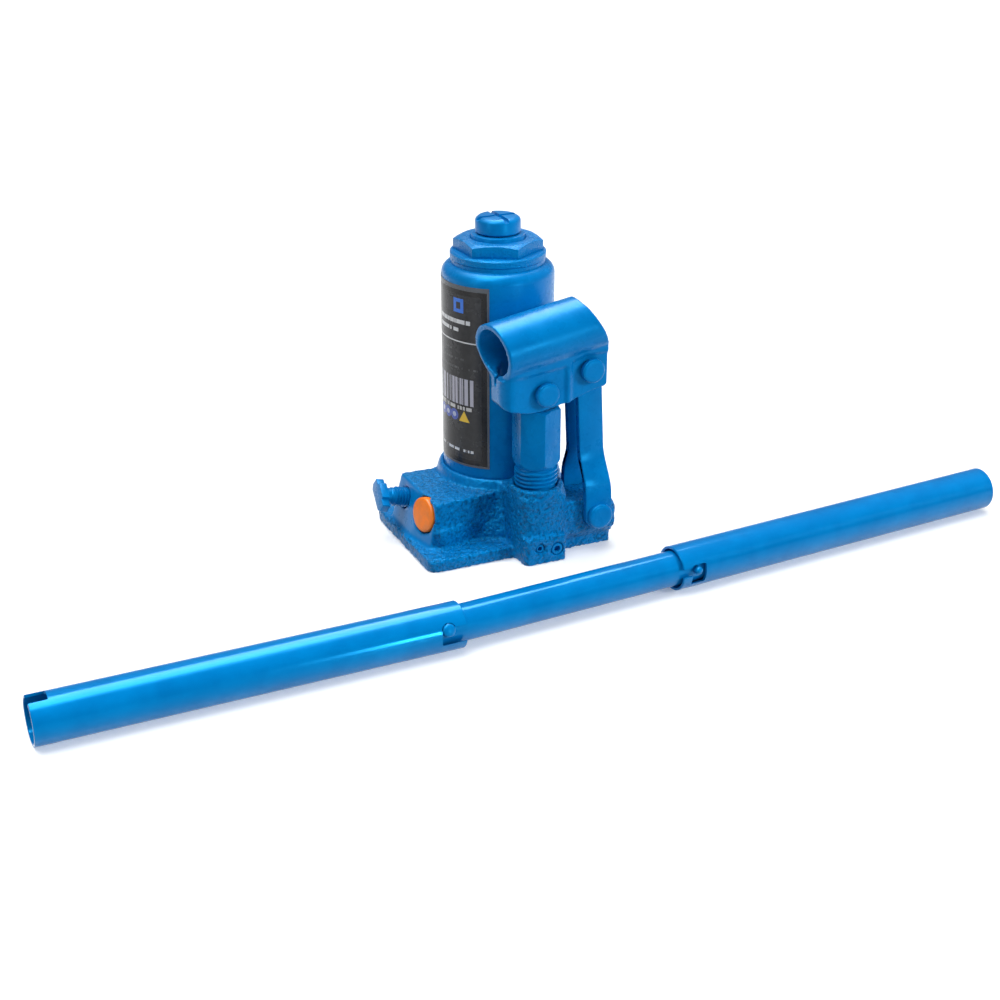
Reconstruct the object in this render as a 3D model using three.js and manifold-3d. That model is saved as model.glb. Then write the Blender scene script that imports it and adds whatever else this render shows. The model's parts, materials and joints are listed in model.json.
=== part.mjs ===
// Bottle jack with its three-piece handle: millimetres, +Z up, the origin on the ram's axis at the floor.
// The pump, the lever socket and the handle are on the -Y side, and the release valve points to -X.
import * as THREE from "three";
import { mergeVertices } from "three/addons/utils/BufferGeometryUtils.js";
import Module from "manifold-3d";

const wasm = await Module();
wasm.setup();

// ---------- driving dimensions ----------
const ROUND = 36; // sides of a large round
const SMALL_ROUND = 18; // sides of a small round
const FIT = 0.1; // radial clearance of a close running fit
const GAP = 0.3; // clearance between loose pieces
const PRESS = 0.02; // play left round a piece that is pressed or screwed home

// reservoir tube
const TANK_RADIUS = 25.5;
const TANK_WALL = 2;
const TANK_TOP = 127.6;
const TANK_SHOULDER = 5;
const TANK_SOCKET = 6; // how far the tube goes into the collar
const GASKET = 1.2;

// inner cylinder and ram
const BORE_RADIUS = 13;
const CYLINDER_WALL = 3;
const CYLINDER_TOP = TANK_TOP - 3.6;
const RAM_RADIUS = 12;
const RAM_TOP = TANK_TOP + 12.8;
const RAM_BOTTOM = 22.6;
const PISTON_TOP = 38;

// top nut
const NUT_TOP = TANK_TOP + 11;
const NUT_FLATS = 35;
const NUT_TURN = 31.5; // degrees from the long axis to a corner
const NUT_FLANGE_RADIUS = 21.6;
const NUT_FLANGE_BOTTOM = TANK_TOP + 1.7;
const NUT_FLANGE_TOP = TANK_TOP + 5.4;
const NUT_SPIGOT = 13;
const NUT_SPIGOT_RADIUS = 18.8;

// extension screw
const SCREW_RADIUS = 8;
const SCREW_LENGTH = 84;
const SCREW_TRAVEL = 50;
const SADDLE_RADIUS = 10.2;
const SADDLE_THICKNESS = 7.4;
const SADDLE_SLOT = 2.4;

// lever socket, links and pins
const SOCKET_TILT = 9.6; // degrees that the tube slopes up towards +X
const SOCKET_AXIS_LEVEL = 102.15; // height of the tube's axis over the ram's axis
const SOCKET_RADIUS = 13.2;
const SOCKET_WALL = 2.6;
const MOUTH_SLANT = 10.3; // degrees that the mouth's near side is cut back
const CHEEK_HALF = 10;
const PLUNGER_PIN = [1, 80]; // x, z
const LINK_TOP_PIN = [23, 88];
const LINK_FOOT_PIN = [27, 18.5];
const LINK_THICKNESS = 3.3;
const LINK_TOP_WIDTH = 12;
const LINK_FOOT_WIDTH = 13;
const LUG_HALF = 9.3;
const LUG_TOP = 26;
const LUG_STEP = 5; // the lug widens to its full width above this level
const PIN_RADIUS = 3;
const FOOT_PIN_RADIUS = 3.5;
const RIVET_HEAD_RADIUS = 5.5;
const RIVET_HEAD = 2.2;

// pump
const PUMP_X = 1;
const PUMP_Y = -(TANK_RADIUS + Math.max(SOCKET_RADIUS, CHEEK_HALF + RIVET_HEAD + GAP) + GAP);
const PUMP_BOSS_RADIUS = 12.7;
const PUMP_BOSS_TOP = 35;
const PUMP_FLATS = 19;
const PUMP_TURN = 25.5;
const PUMP_HEX_BOTTOM = 45;
const PUMP_TOP = 71.5;
const PUMP_SEAT = 19;
const PUMP_THREAD_RADIUS = 9.6;
const PLUNGER_RADIUS = 5;
const PLUNGER_EYE_THICKNESS = 12;
const BLOCK_FRONT = PUMP_Y - 14;
const BLOCK_HALF = 10.4;
const BLOCK_TOP = 13;
const VALVE_BORE = 15; // depth of the two valves in the front of the pump block
const OVERLOAD = { name: "overload", x: -2.9, z: 7.6, bore: 2.2, ball: 1.6, recess: 0.8 };
const DELIVERY = { name: "delivery", x: 5.6, z: 6.1, bore: 3, ball: 2.4, recess: 0.5 };

// base casting
const FOOT_LEFT = -52.5;
const FOOT_RIGHT = 37.5;
const FOOT_FRONT = PUMP_Y - 3;
const LUG_FOOT_FRONT = PUMP_Y - 4.4;
const FOOT_BACK = TANK_RADIUS + 12.5;
const FOOT_THICKNESS = 6;
const COLLAR_RADIUS = TANK_RADIUS + 2.8;
const COLLAR_TOP = 32;
const SKIRT_RADIUS = TANK_RADIUS + 9.5;
const SEAT_FLOOR = 20; // the level that the inner cylinder stands on
const PASSAGE_LEVEL = 12;
const PASSAGE_RADIUS = 1.8;

// release valve and oil filler, on the boss at the left end
const VALVE_POINT = [-46.6, 2, 19.3];
const VALVE_RISE = 15; // degrees
const VALVE_THREAD_RADIUS = 4.65;
const VALVE_REACH = 8; // visible thread
const FILLER_POINT = [-46.5, -20, 19.3];
const FILLER_SWING = 12;
const FILLER_RISE = 8;
const FILLER_RADIUS = 8;
const BOSS_TOP = 27.5;
const BOSS_BACK = 12;

// rating label
const LABEL_BOTTOM = 36.6;
const LABEL_TOP = 121.7;
const LABEL_START = -262;
const LABEL_END = -123;
const LABEL_THICKNESS = 0.25;

// handle
const HANDLE_RADIUS = 9.9;
const HANDLE_WALL = 1.2;
const MIDDLE_RADIUS = 7.8;
const MIDDLE_WALL = 1.4;
const FRONT_TUBE_FOOT = [-238.9, -109.2]; // far end of the front tube on the floor plan
const FRONT_TUBE_HEADING = 1.1;
const FRONT_TUBE_LENGTH = 173;
const REAR_TUBE_START = [38.8, -97.8];
const REAR_TUBE_HEADING = 4.5;
const REAR_TUBE_LENGTH = 179.6;
const HANDLE_OVERLAP = 24;
const FRONT_PIN_LEAN = 20; // degrees up from level, on the near side
const REAR_PIN_LEAN = 8;
const JOINT_PIN_RADIUS = 2.8;
const REAR_PIN_RADIUS = 1.7;
const KEY_NOTCH_DEPTH = 7.5; // in the top wall of the front tube, for the release valve's ears
const KEY_NOTCH_HALF = 3.4;

const rad = THREE.MathUtils.degToRad;
const jack = new THREE.Group();

// ---------- solids ----------
function solid(geometry) {
  const bare = geometry.clone();
  bare.deleteAttribute("normal");
  bare.deleteAttribute("uv");
  const merged = mergeVertices(bare, 1e-4);
  const corners = merged.index.array;
  const kept = [];
  for (let i = 0; i < corners.length; i += 3) {
    const [a, b, c] = corners.subarray(i, i + 3);
    if (a !== b && b !== c && c !== a) kept.push(a, b, c);
  }
  const vertProperties = merged.attributes.position.array;
  return new wasm.Manifold(new wasm.Mesh({ numProp: 3, vertProperties, triVerts: new Uint32Array(kept) }));
}

function geometryOf(manifold) {
  const mesh = manifold.getMesh();
  const geometry = new THREE.BufferGeometry();
  geometry.setAttribute("position", new THREE.BufferAttribute(mesh.vertProperties.slice(), 3));
  geometry.setIndex(new THREE.BufferAttribute(mesh.triVerts.slice(), 1));
  geometry.computeVertexNormals();
  return geometry;
}

function cut(body, ...tools) {
  let left = solid(body);
  for (const tool of tools) left = left.subtract(solid(tool));
  return geometryOf(left);
}

function join(...bodies) {
  let whole = solid(bodies[0]);
  for (const body of bodies.slice(1)) whole = whole.add(solid(body));
  return geometryOf(whole);
}

function shared(body, ...others) {
  let common = solid(body);
  for (const other of others) common = common.intersect(solid(other));
  return geometryOf(common);
}

// A closed profile of [radius, height] corners, spun about Z; it runs up the outside.
function turned(profile, sides = ROUND) {
  const points = profile.map(([r, z]) => new THREE.Vector2(r, z));
  return new THREE.LatheGeometry(points, sides).rotateX(Math.PI / 2);
}

function disc(radius, low, high, sides = ROUND) {
  return turned([[0, low], [radius, low], [radius, high], [0, high]], sides);
}

function ring(outer, inner, low, high, sides = ROUND) {
  return turned([[inner, low], [outer, low], [outer, high], [inner, high], [inner, low]], sides);
}

function block(x0, x1, y0, y1, z0, z1) {
  const box = new THREE.BoxGeometry(x1 - x0, y1 - y0, z1 - z0);
  return box.translate((x0 + x1) / 2, (y0 + y1) / 2, (z0 + z1) / 2);
}

// A closed outline through [x, y, corner radius] points, with each corner rounded by an arc.
function outline(corners) {
  const shape = new THREE.Shape();
  const count = corners.length;
  corners.forEach(([x, y, radius], i) => {
    const here = new THREE.Vector2(x, y);
    const back = new THREE.Vector2(...corners[(i + count - 1) % count]).sub(here).normalize();
    const on = new THREE.Vector2(...corners[(i + 1) % count]).sub(here).normalize();
    if (!radius) {
      if (i) shape.lineTo(x, y);
      else shape.moveTo(x, y);
      return;
    }
    const half = Math.acos(THREE.MathUtils.clamp(back.dot(on), -1, 1)) / 2;
    const reach = radius / Math.tan(half);
    const centre = back.clone().add(on).normalize().multiplyScalar(radius / Math.sin(half)).add(here);
    const start = back.clone().multiplyScalar(reach).add(here);
    const end = on.clone().multiplyScalar(reach).add(here);
    if (i) shape.lineTo(start.x, start.y);
    else shape.moveTo(start.x, start.y);
    const from = Math.atan2(start.y - centre.y, start.x - centre.x);
    const to = Math.atan2(end.y - centre.y, end.x - centre.x);
    shape.absarc(centre.x, centre.y, radius, from, to, back.cross(on) > 0);
  });
  shape.closePath();
  return shape;
}

// An outline on the floor plan, raised from low to high.
function prism(shape, low, high) {
  const options = { depth: high - low, bevelEnabled: false, curveSegments: 6 };
  return new THREE.ExtrudeGeometry(shape, options).translate(0, 0, low);
}

// An outline of [x, z] corners, swept along Y from near to far.
function sideways(shape, near, far) {
  const options = { depth: far - near, bevelEnabled: false, curveSegments: 8 };
  return new THREE.ExtrudeGeometry(shape, options).rotateX(Math.PI / 2).translate(0, far, 0);
}

function hexagon(flats, turn) {
  const corners = [];
  for (let i = 0; i < 6; i += 1) {
    const angle = rad(turn + 60 * i);
    corners.push([(flats / Math.sqrt(3)) * Math.cos(angle), (flats / Math.sqrt(3)) * Math.sin(angle), 0]);
  }
  return outline(corners);
}

// A round bar between two points.
function bar(from, to, radius, sides = SMALL_ROUND) {
  const start = new THREE.Vector3(...from);
  const way = new THREE.Vector3(...to).sub(start);
  const up = new THREE.Vector3(0, 0, 1);
  const turn = new THREE.Quaternion().setFromUnitVectors(up, way.clone().normalize());
  return disc(radius, 0, way.length(), sides).applyQuaternion(turn).translate(start.x, start.y, start.z);
}

// A stack of ridges that stands for a thread, between two levels.
function threaded(radius, low, high, pitch, sides = SMALL_ROUND) {
  const depth = 0.54 * pitch;
  const profile = [[0, low], [radius - depth, low]];
  const turns = Math.floor((high - low) / pitch);
  for (let i = 0; i < turns; i += 1) {
    profile.push([radius, low + (i + 0.5) * pitch], [radius - depth, low + (i + 1) * pitch]);
  }
  profile.push([radius - depth, high], [0, high]);
  return turned(profile, sides);
}

// A spring wound about Z from low to high.
function spring(radius, wire, low, high, coils) {
  const points = [];
  const steps = coils * 8;
  for (let i = 0; i <= steps; i += 1) {
    const angle = (i / 8) * 2 * Math.PI;
    const height = low + wire + ((high - low - 2 * wire) * i) / steps;
    points.push(new THREE.Vector3(radius * Math.cos(angle), radius * Math.sin(angle), height));
  }
  const section = new THREE.Shape();
  section.absarc(0, 0, wire, 0, 2 * Math.PI);
  const extrudePath = new THREE.CatmullRomCurve3(points);
  return new THREE.ExtrudeGeometry(section, { steps, extrudePath, curveSegments: 2, bevelEnabled: false });
}

// ---------- finishes ----------
const BLUE = { color: 0x0078c3, roughness: 0.42, metalness: 0.1 };
const ROUGH_BLUE = { color: 0x0070b8, roughness: 0.7, metalness: 0.05 };
const STEEL = { color: 0x9a9da1, roughness: 0.3, metalness: 1 };
const RUBBER = { color: 0x1b1b1d, roughness: 0.8, metalness: 0 };
const ORANGE = { color: 0xff8a1f, roughness: 0.5, metalness: 0 };
const COPPER = { color: 0xb8734a, roughness: 0.35, metalness: 1 };
const LABEL = { color: 0x14161a, roughness: 0.35, metalness: 0 };

function piece(name, geometry, finish, parent = jack) {
  const mesh = new THREE.Mesh(geometry, new THREE.MeshStandardMaterial(finish));
  mesh.name = name;
  parent.add(mesh);
  return mesh;
}

// ---------- places worked out from the sizes ----------
const tankBottom = COLLAR_TOP - TANK_SOCKET;
const cylinderBottom = SEAT_FLOOR + GASKET;
const cylinderRadius = BORE_RADIUS + CYLINDER_WALL;
const saddleBottom = RAM_TOP + GAP;
const saddleTop = saddleBottom + SADDLE_THICKNESS;
const screwBottom = saddleBottom - SCREW_LENGTH;
const stopRingTop = screwBottom + 6;
const ramThreadBottom = stopRingTop + SCREW_TRAVEL + GAP;
const cheekInner = CHEEK_HALF - SOCKET_WALL;
const linkOuterTop = cheekInner - GAP;
const linkOuterFoot = LUG_HALF + GAP + LINK_THICKNESS;
const linkPinReach = CHEEK_HALF + GAP;
const footPinReach = linkOuterFoot + GAP;

const valveFrame = new THREE.Group();
valveFrame.position.set(...VALVE_POINT);
valveFrame.rotation.set(0, rad(-90 + VALVE_RISE), 0);
jack.add(valveFrame);

const fillerFrame = new THREE.Group();
fillerFrame.position.set(...FILLER_POINT);
fillerFrame.rotation.set(0, rad(-90 + FILLER_RISE), rad(FILLER_SWING), "ZYX");
jack.add(fillerFrame);
jack.updateMatrixWorld(true);

// A tool made in a frame's own axes, moved to where the frame stands.
const inFrame = (geometry, frame) => geometry.applyMatrix4(frame.matrixWorld);

// ---------- base casting ----------
function footPlate() {
  return prism(outline([
    [FOOT_LEFT, FOOT_FRONT, 5],
    [FOOT_RIGHT, FOOT_FRONT, 4],
    [FOOT_RIGHT, FOOT_BACK, 8],
    [FOOT_LEFT, FOOT_BACK, 20],
  ]), 0, FOOT_THICKNESS);
}

function skirt() {
  return turned([
    [0, 0],
    [SKIRT_RADIUS, 0],
    [SKIRT_RADIUS, FOOT_THICKNESS + 2],
    [COLLAR_RADIUS + 1.5, BOSS_TOP - 4],
    [COLLAR_RADIUS, COLLAR_TOP - 2],
    [COLLAR_RADIUS - 1, COLLAR_TOP],
    [0, COLLAR_TOP],
  ], 48);
}

// The boss on the left end, sloping out to the foot, with the valve's and the filler's faces dressed flat.
function valveBoss() {
  const plan = outline([
    [FOOT_LEFT + 1, -30, 4],
    [0, -26, 0],
    [0, BOSS_BACK, 0],
    [FOOT_LEFT + 1, BOSS_BACK, 4],
  ]);
  const body = prism(plan, 0, BOSS_TOP);
  const away = 30;
  const valveFace = inFrame(block(-60, 60, -60, 60, 0, away), valveFrame);
  const fillerFace = inFrame(block(-60, 60, -60, 60, 0, away), fillerFrame);
  const aboveFoot = block(FOOT_LEFT - away, 0, -60, 60, FOOT_THICKNESS, BOSS_TOP + away);
  return cut(body, shared(valveFace, aboveFoot), shared(fillerFace, aboveFoot));
}

function buttress() {
  const corners = [[-44, -33, 2], [-12, -24, 0], [-12, -18, 0], [-42, -22, 2]];
  return prism(outline(corners), 0, 15);
}

function pumpBoss() {
  const reach = PUMP_BOSS_RADIUS - 0.7;
  const plan = outline([
    [PUMP_X - reach, PUMP_Y - reach, 7],
    [PUMP_X + reach, PUMP_Y - reach, 7],
    [PUMP_X + reach, -20, 0],
    [PUMP_X - reach, -20, 0],
  ]);
  const head = disc(PUMP_BOSS_RADIUS, 0, PUMP_BOSS_TOP, 24).translate(PUMP_X, PUMP_Y, 0);
  const valveBlock = prism(outline([
    [-BLOCK_HALF, BLOCK_FRONT, 2.5],
    [BLOCK_HALF, BLOCK_FRONT, 1.5],
    [BLOCK_HALF, PUMP_Y, 0],
    [-BLOCK_HALF, PUMP_Y, 0],
  ]), 0, BLOCK_TOP);
  return join(prism(plan, 0, PUMP_BOSS_TOP - 4), head, valveBlock);
}

function linkLug() {
  const side = outline([
    [12, 0, 0],
    [FOOT_RIGHT, 0, 0],
    [FOOT_RIGHT, LUG_TOP, 7.4],
    [12, LUG_TOP, 0],
  ]);
  const web = block(12, FOOT_RIGHT - 8, PUMP_Y, -10, 0, LUG_TOP - 4);
  const near = PUMP_Y - LUG_HALF;
  const step = outline([
    [near - 1, -1, 0],
    [LUG_FOOT_FRONT, -1, 0],
    [LUG_FOOT_FRONT, LUG_STEP, 0],
    [near - 1, LUG_STEP + 6, 0],
  ]);
  const underCut = prism(step, 0, FOOT_RIGHT + 1).rotateX(Math.PI / 2).rotateZ(Math.PI / 2);
  return join(cut(sideways(side, near, PUMP_Y + LUG_HALF), underCut), web);
}

// Seats, bores and oil ways of the casting.
function baseBores() {
  const tankSeat = disc(TANK_RADIUS + PRESS, tankBottom - GASKET, COLLAR_TOP + 1, 48);
  const cylinderSeat = disc(cylinderRadius + PRESS, SEAT_FLOOR, COLLAR_TOP, ROUND);
  const pumpThread = disc(PUMP_THREAD_RADIUS + PRESS, PUMP_SEAT, PUMP_BOSS_TOP + 1, ROUND)
    .translate(PUMP_X, PUMP_Y, 0);
  const pumpWell = disc(PLUNGER_RADIUS + FIT, PASSAGE_LEVEL - 2, PUMP_SEAT + 1, SMALL_ROUND)
    .translate(PUMP_X, PUMP_Y, 0);
  const delivery = bar([PUMP_X, PUMP_Y, PASSAGE_LEVEL], [0, 0, PASSAGE_LEVEL], PASSAGE_RADIUS, 12);
  const rise = bar([0, 0, PASSAGE_LEVEL - PASSAGE_RADIUS], [0, 0, SEAT_FLOOR + 1], PASSAGE_RADIUS, 12);
  const valveBore = inFrame(disc(VALVE_THREAD_RADIUS + GAP, -17, 1, SMALL_ROUND), valveFrame);
  const returnWay = bar([-32, 2, 14.4], [0, 0, PASSAGE_LEVEL + 0.5], PASSAGE_RADIUS, 12);
  const fillerBore = inFrame(disc(FILLER_RADIUS + 0.4, -4, 1, 24), fillerFrame);
  const fillerStem = inFrame(disc(4.3, -13, 0, SMALL_ROUND), fillerFrame);
  const fillerWay = bar([-34, -17.5, 18], [-19, -9, tankBottom], 2.5, 12);
  const [pinX, pinZ] = LINK_FOOT_PIN;
  const linkRoom = block(
    pinX - LINK_FOOT_WIDTH / 2 - 1,
    FOOT_RIGHT + 1,
    PUMP_Y + LUG_HALF,
    PUMP_Y + footPinReach + RIVET_HEAD + GAP,
    pinZ - LINK_FOOT_WIDTH / 2 - 1,
    COLLAR_TOP + 1,
  );
  return [linkRoom, tankSeat, cylinderSeat, pumpThread, pumpWell, delivery, rise, valveBore, returnWay,
    fillerBore, fillerStem, fillerWay];
}

function frontBore({ x, z, bore }) {
  return bar([x, BLOCK_FRONT - 1, z], [x, BLOCK_FRONT + VALVE_BORE, z], bore);
}

function frontPlugBores() {
  const lugPin = bar(
    [LINK_FOOT_PIN[0], PUMP_Y - LUG_HALF - 1, LINK_FOOT_PIN[1]],
    [LINK_FOOT_PIN[0], PUMP_Y + LUG_HALF + 1, LINK_FOOT_PIN[1]],
    FOOT_PIN_RADIUS + GAP,
  );
  return [lugPin, frontBore(OVERLOAD), frontBore(DELIVERY)];
}

// One of the two valves that are screwed in from the front of the pump block.
function frontValve({ name, x, z, bore, ball, recess }) {
  const holder = new THREE.Group();
  holder.position.set(x, BLOCK_FRONT, z);
  holder.rotation.x = -Math.PI / 2;
  jack.add(holder);
  const hexSocket = prism(hexagon(bore, 0), -1, 3);
  const plug = cut(disc(bore - 0.15, recess, recess + 5, SMALL_ROUND), hexSocket);
  piece(`${name}_valve_plug`, plug, BLUE, holder);
  piece(`${name}_valve_spring`, spring(bore - 0.9, 0.35, recess + 5.1, 14.2 - 2 * ball, 5), STEEL, holder);
  const sphere = new THREE.SphereGeometry(ball, 12, 8).translate(0, 0, 14.6 - ball);
  piece(`${name}_valve_ball`, sphere, STEEL, holder);
}

function baseCasting() {
  const body = join(footPlate(), skirt(), valveBoss(), buttress(), pumpBoss(), linkLug());
  return cut(body, ...baseBores(), ...frontPlugBores());
}

piece("base_casting", baseCasting(), ROUGH_BLUE);
frontValve(OVERLOAD);
frontValve(DELIVERY);
piece(
  "inlet_valve_ball",
  new THREE.SphereGeometry(2.6, 12, 8).translate(PUMP_X, PUMP_Y, PASSAGE_LEVEL + 2.7),
  STEEL,
);

// ---------- tank, cylinder and nut ----------
function reservoirTube() {
  const inner = TANK_RADIUS - TANK_WALL;
  const lip = NUT_SPIGOT_RADIUS + GAP;
  const profile = [[inner, tankBottom], [TANK_RADIUS, tankBottom]];
  const corner = TANK_TOP - TANK_SHOULDER;
  for (let i = 0; i <= 6; i += 1) {
    const angle = (i / 6) * (Math.PI / 2);
    const out = TANK_RADIUS - TANK_SHOULDER + TANK_SHOULDER * Math.cos(angle);
    profile.push([out, corner + TANK_SHOULDER * Math.sin(angle)]);
  }
  profile.push([lip, TANK_TOP], [lip, TANK_TOP - TANK_WALL]);
  for (let i = 6; i >= 0; i -= 1) {
    const angle = (i / 6) * (Math.PI / 2);
    const bend = TANK_SHOULDER - TANK_WALL;
    profile.push([inner - bend + bend * Math.cos(angle), corner + bend * Math.sin(angle)]);
  }
  profile.push([inner, tankBottom]);
  return turned(profile, 48);
}

function topNut() {
  const threadTop = CYLINDER_TOP + GAP;
  const bore = RAM_RADIUS + 0.25;
  const sealSeat = RAM_RADIUS + 2.2;
  const foot = NUT_FLANGE_BOTTOM - NUT_SPIGOT;
  const flange = turned([
    [cylinderRadius + PRESS, foot],
    [NUT_SPIGOT_RADIUS, foot],
    [NUT_SPIGOT_RADIUS, NUT_FLANGE_BOTTOM],
    [NUT_FLANGE_RADIUS, NUT_FLANGE_BOTTOM],
    [NUT_FLANGE_RADIUS, NUT_FLANGE_TOP - 0.6],
    [NUT_FLANGE_RADIUS - 0.6, NUT_FLANGE_TOP],
    [bore, NUT_FLANGE_TOP],
    [bore, threadTop],
    [cylinderRadius + PRESS, threadTop],
    [cylinderRadius + PRESS, foot],
  ]);
  const corner = NUT_FLATS / Math.sqrt(3);
  const chamfer = turned([
    [0, NUT_FLANGE_TOP - 1],
    [corner + 1, NUT_FLANGE_TOP - 1],
    [corner + 1, NUT_TOP - 1.8],
    [NUT_FLATS / 2 - 0.4, NUT_TOP],
    [0, NUT_TOP],
  ]);
  const hex = shared(prism(hexagon(NUT_FLATS, NUT_TURN), NUT_FLANGE_TOP - 0.5, NUT_TOP), chamfer);
  const hole = disc(bore, threadTop, NUT_TOP + 1);
  const groove = disc(sealSeat, NUT_FLANGE_TOP - 3.5, NUT_FLANGE_TOP - 0.5);
  return cut(join(flange, cut(hex, hole)), groove);
}

piece("reservoir_tube", reservoirTube(), BLUE);
piece("inner_cylinder", ring(cylinderRadius, BORE_RADIUS, cylinderBottom, CYLINDER_TOP), STEEL);
piece("cylinder_gasket", ring(cylinderRadius, BORE_RADIUS - 1, SEAT_FLOOR, cylinderBottom), COPPER);
const tankInner = TANK_RADIUS - TANK_WALL;
piece("tank_gasket_lower", ring(TANK_RADIUS, tankInner, tankBottom - GASKET, tankBottom, 48), RUBBER);
const upperGasketRadius = TANK_RADIUS - TANK_SHOULDER + 0.7;
const upperGasket = ring(upperGasketRadius, NUT_SPIGOT_RADIUS + GAP, TANK_TOP, NUT_FLANGE_BOTTOM);
piece("tank_gasket_upper", upperGasket, RUBBER);
piece("top_nut", topNut(), BLUE);
const wiper = ring(RAM_RADIUS + 2.15, RAM_RADIUS + FIT, NUT_FLANGE_TOP - 3.3, NUT_FLANGE_TOP - 0.7);
piece("ram_wiper_seal", wiper, RUBBER);

// ---------- ram and extension screw ----------
function ram() {
  const body = turned([
    [0, RAM_BOTTOM],
    [6, RAM_BOTTOM],
    [6, RAM_BOTTOM + 7.4],
    [BORE_RADIUS - FIT, RAM_BOTTOM + 7.4],
    [BORE_RADIUS - FIT, PISTON_TOP],
    [RAM_RADIUS, PISTON_TOP],
    [RAM_RADIUS, RAM_TOP - 0.6],
    [RAM_RADIUS - 0.6, RAM_TOP],
    [0, RAM_TOP],
  ]);
  const thread = disc(SCREW_RADIUS + GAP, screwBottom - 4, RAM_TOP + 1);
  const chamber = disc(SCREW_RADIUS + 1.2, screwBottom - 4, ramThreadBottom);
  return cut(body, thread, chamber);
}

function extensionScrew() {
  const body = turned([
    [0, screwBottom],
    [SCREW_RADIUS - 1.5, screwBottom],
    [SCREW_RADIUS - 1.5, stopRingTop + GAP],
    [SCREW_RADIUS, stopRingTop + 1.5],
    [SCREW_RADIUS, saddleBottom - 1],
    [SCREW_RADIUS - 0.8, saddleBottom],
    [SADDLE_RADIUS - 0.5, saddleBottom],
    [SADDLE_RADIUS, saddleBottom + 0.5],
    [SADDLE_RADIUS, saddleTop - 1.5],
    [SADDLE_RADIUS - 1.5, saddleTop],
    [0, saddleTop],
  ]);
  const long = SADDLE_RADIUS + 1;
  const half = SADDLE_SLOT / 2;
  const across = block(-long, long, -half, half, saddleTop - 1.6, saddleTop + 1);
  const along = block(-half, half, -long, long, saddleTop - 1.6, saddleTop + 1);
  return cut(body, across, along);
}

piece("ram", ram(), STEEL);
const cupTop = RAM_BOTTOM + 5.6;
piece("piston_backup_ring", ring(BORE_RADIUS - FIT, 6.05, cupTop, RAM_BOTTOM + 7.4), COPPER);
piece("piston_cup_seal", turned([
  [6.05, RAM_BOTTOM + 2.2],
  [BORE_RADIUS - 1.6, RAM_BOTTOM + 2.2],
  [BORE_RADIUS - FIT, RAM_BOTTOM + 3.2],
  [BORE_RADIUS - FIT, cupTop],
  [6.05, cupTop],
  [6.05, RAM_BOTTOM + 2.2],
]), RUBBER);
piece("piston_retainer", ring(9, 6.05, RAM_BOTTOM + 0.4, RAM_BOTTOM + 2.2, 24), STEEL);
piece("extension_screw", extensionScrew(), STEEL);
const stopRing = ring(SCREW_RADIUS + 0.8, SCREW_RADIUS - 1.2, stopRingTop - 3, stopRingTop, 24);
piece("screw_stop_ring", stopRing, STEEL);

// ---------- pump ----------
function pumpBarrel() {
  const corner = PUMP_FLATS / Math.sqrt(3);
  const bounds = turned([
    [0, PUMP_HEX_BOTTOM - 1.5],
    [PUMP_THREAD_RADIUS - 0.2, PUMP_HEX_BOTTOM - 1.5],
    [corner + 0.5, PUMP_HEX_BOTTOM + 1.5],
    [corner + 0.5, PUMP_TOP - 1.2],
    [PUMP_FLATS / 2 - 0.6, PUMP_TOP],
    [0, PUMP_TOP],
  ]);
  const hex = shared(prism(hexagon(PUMP_FLATS, PUMP_TURN), PUMP_HEX_BOTTOM - 1.5, PUMP_TOP), bounds);
  const hidden = disc(PUMP_THREAD_RADIUS - 0.05, PUMP_SEAT + GASKET, PUMP_BOSS_TOP - 2, 24);
  const thread = threaded(PUMP_THREAD_RADIUS - 0.05, PUMP_BOSS_TOP - 2, PUMP_HEX_BOTTOM - 2, 2.5, 24);
  const neck = disc(PUMP_THREAD_RADIUS - 0.9, PUMP_HEX_BOTTOM - 3.5, PUMP_HEX_BOTTOM, 24);
  const bore = disc(PLUNGER_RADIUS + FIT, PUMP_SEAT, PUMP_TOP + 1, 24);
  const sealGroove = disc(PLUNGER_RADIUS + 2, PUMP_TOP - 5, PUMP_TOP - 2.4, 24);
  return cut(join(hex, neck, thread, hidden), bore, sealGroove).translate(PUMP_X, PUMP_Y, 0);
}

// The eye's slot is as long as the pin's path is curved, because the plunger only moves straight up.
function pumpPlunger() {
  const near = PUMP_Y - PLUNGER_EYE_THICKNESS / 2;
  const far = PUMP_Y + PLUNGER_EYE_THICKNESS / 2;
  const [x, z] = PLUNGER_PIN;
  const foot = PUMP_TOP + 1.2;
  const eyeOutline = outline([
    [x - 7, foot, 1],
    [x + 7, foot, 1],
    [x + 7, z + 6.8, 6],
    [x - 7, z + 6.8, 6],
  ]);
  const eye = sideways(eyeOutline, near, far);
  const rod = turned([
    [0, PUMP_SEAT + 1],
    [PLUNGER_RADIUS - 0.8, PUMP_SEAT + 1],
    [PLUNGER_RADIUS, PUMP_SEAT + 1.8],
    [PLUNGER_RADIUS, foot + 2],
    [0, foot + 2],
  ], 24).translate(PUMP_X, PUMP_Y, 0);
  const groove = ring(PLUNGER_RADIUS + 1, PLUNGER_RADIUS - 1.2, PUMP_SEAT + 3.5, PUMP_SEAT + 6, 24);
  const half = PIN_RADIUS + GAP;
  const play = 1.6;
  const slot = outline([
    [x - half - play, z - half - 0.3, half],
    [x + half + play, z - half - 0.3, half],
    [x + half + play, z + half + 0.3, half],
    [x - half - play, z + half + 0.3, half],
  ]);
  return cut(join(eye, rod), sideways(slot, near - 1, far + 1), groove.translate(PUMP_X, PUMP_Y, 0));
}

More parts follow.
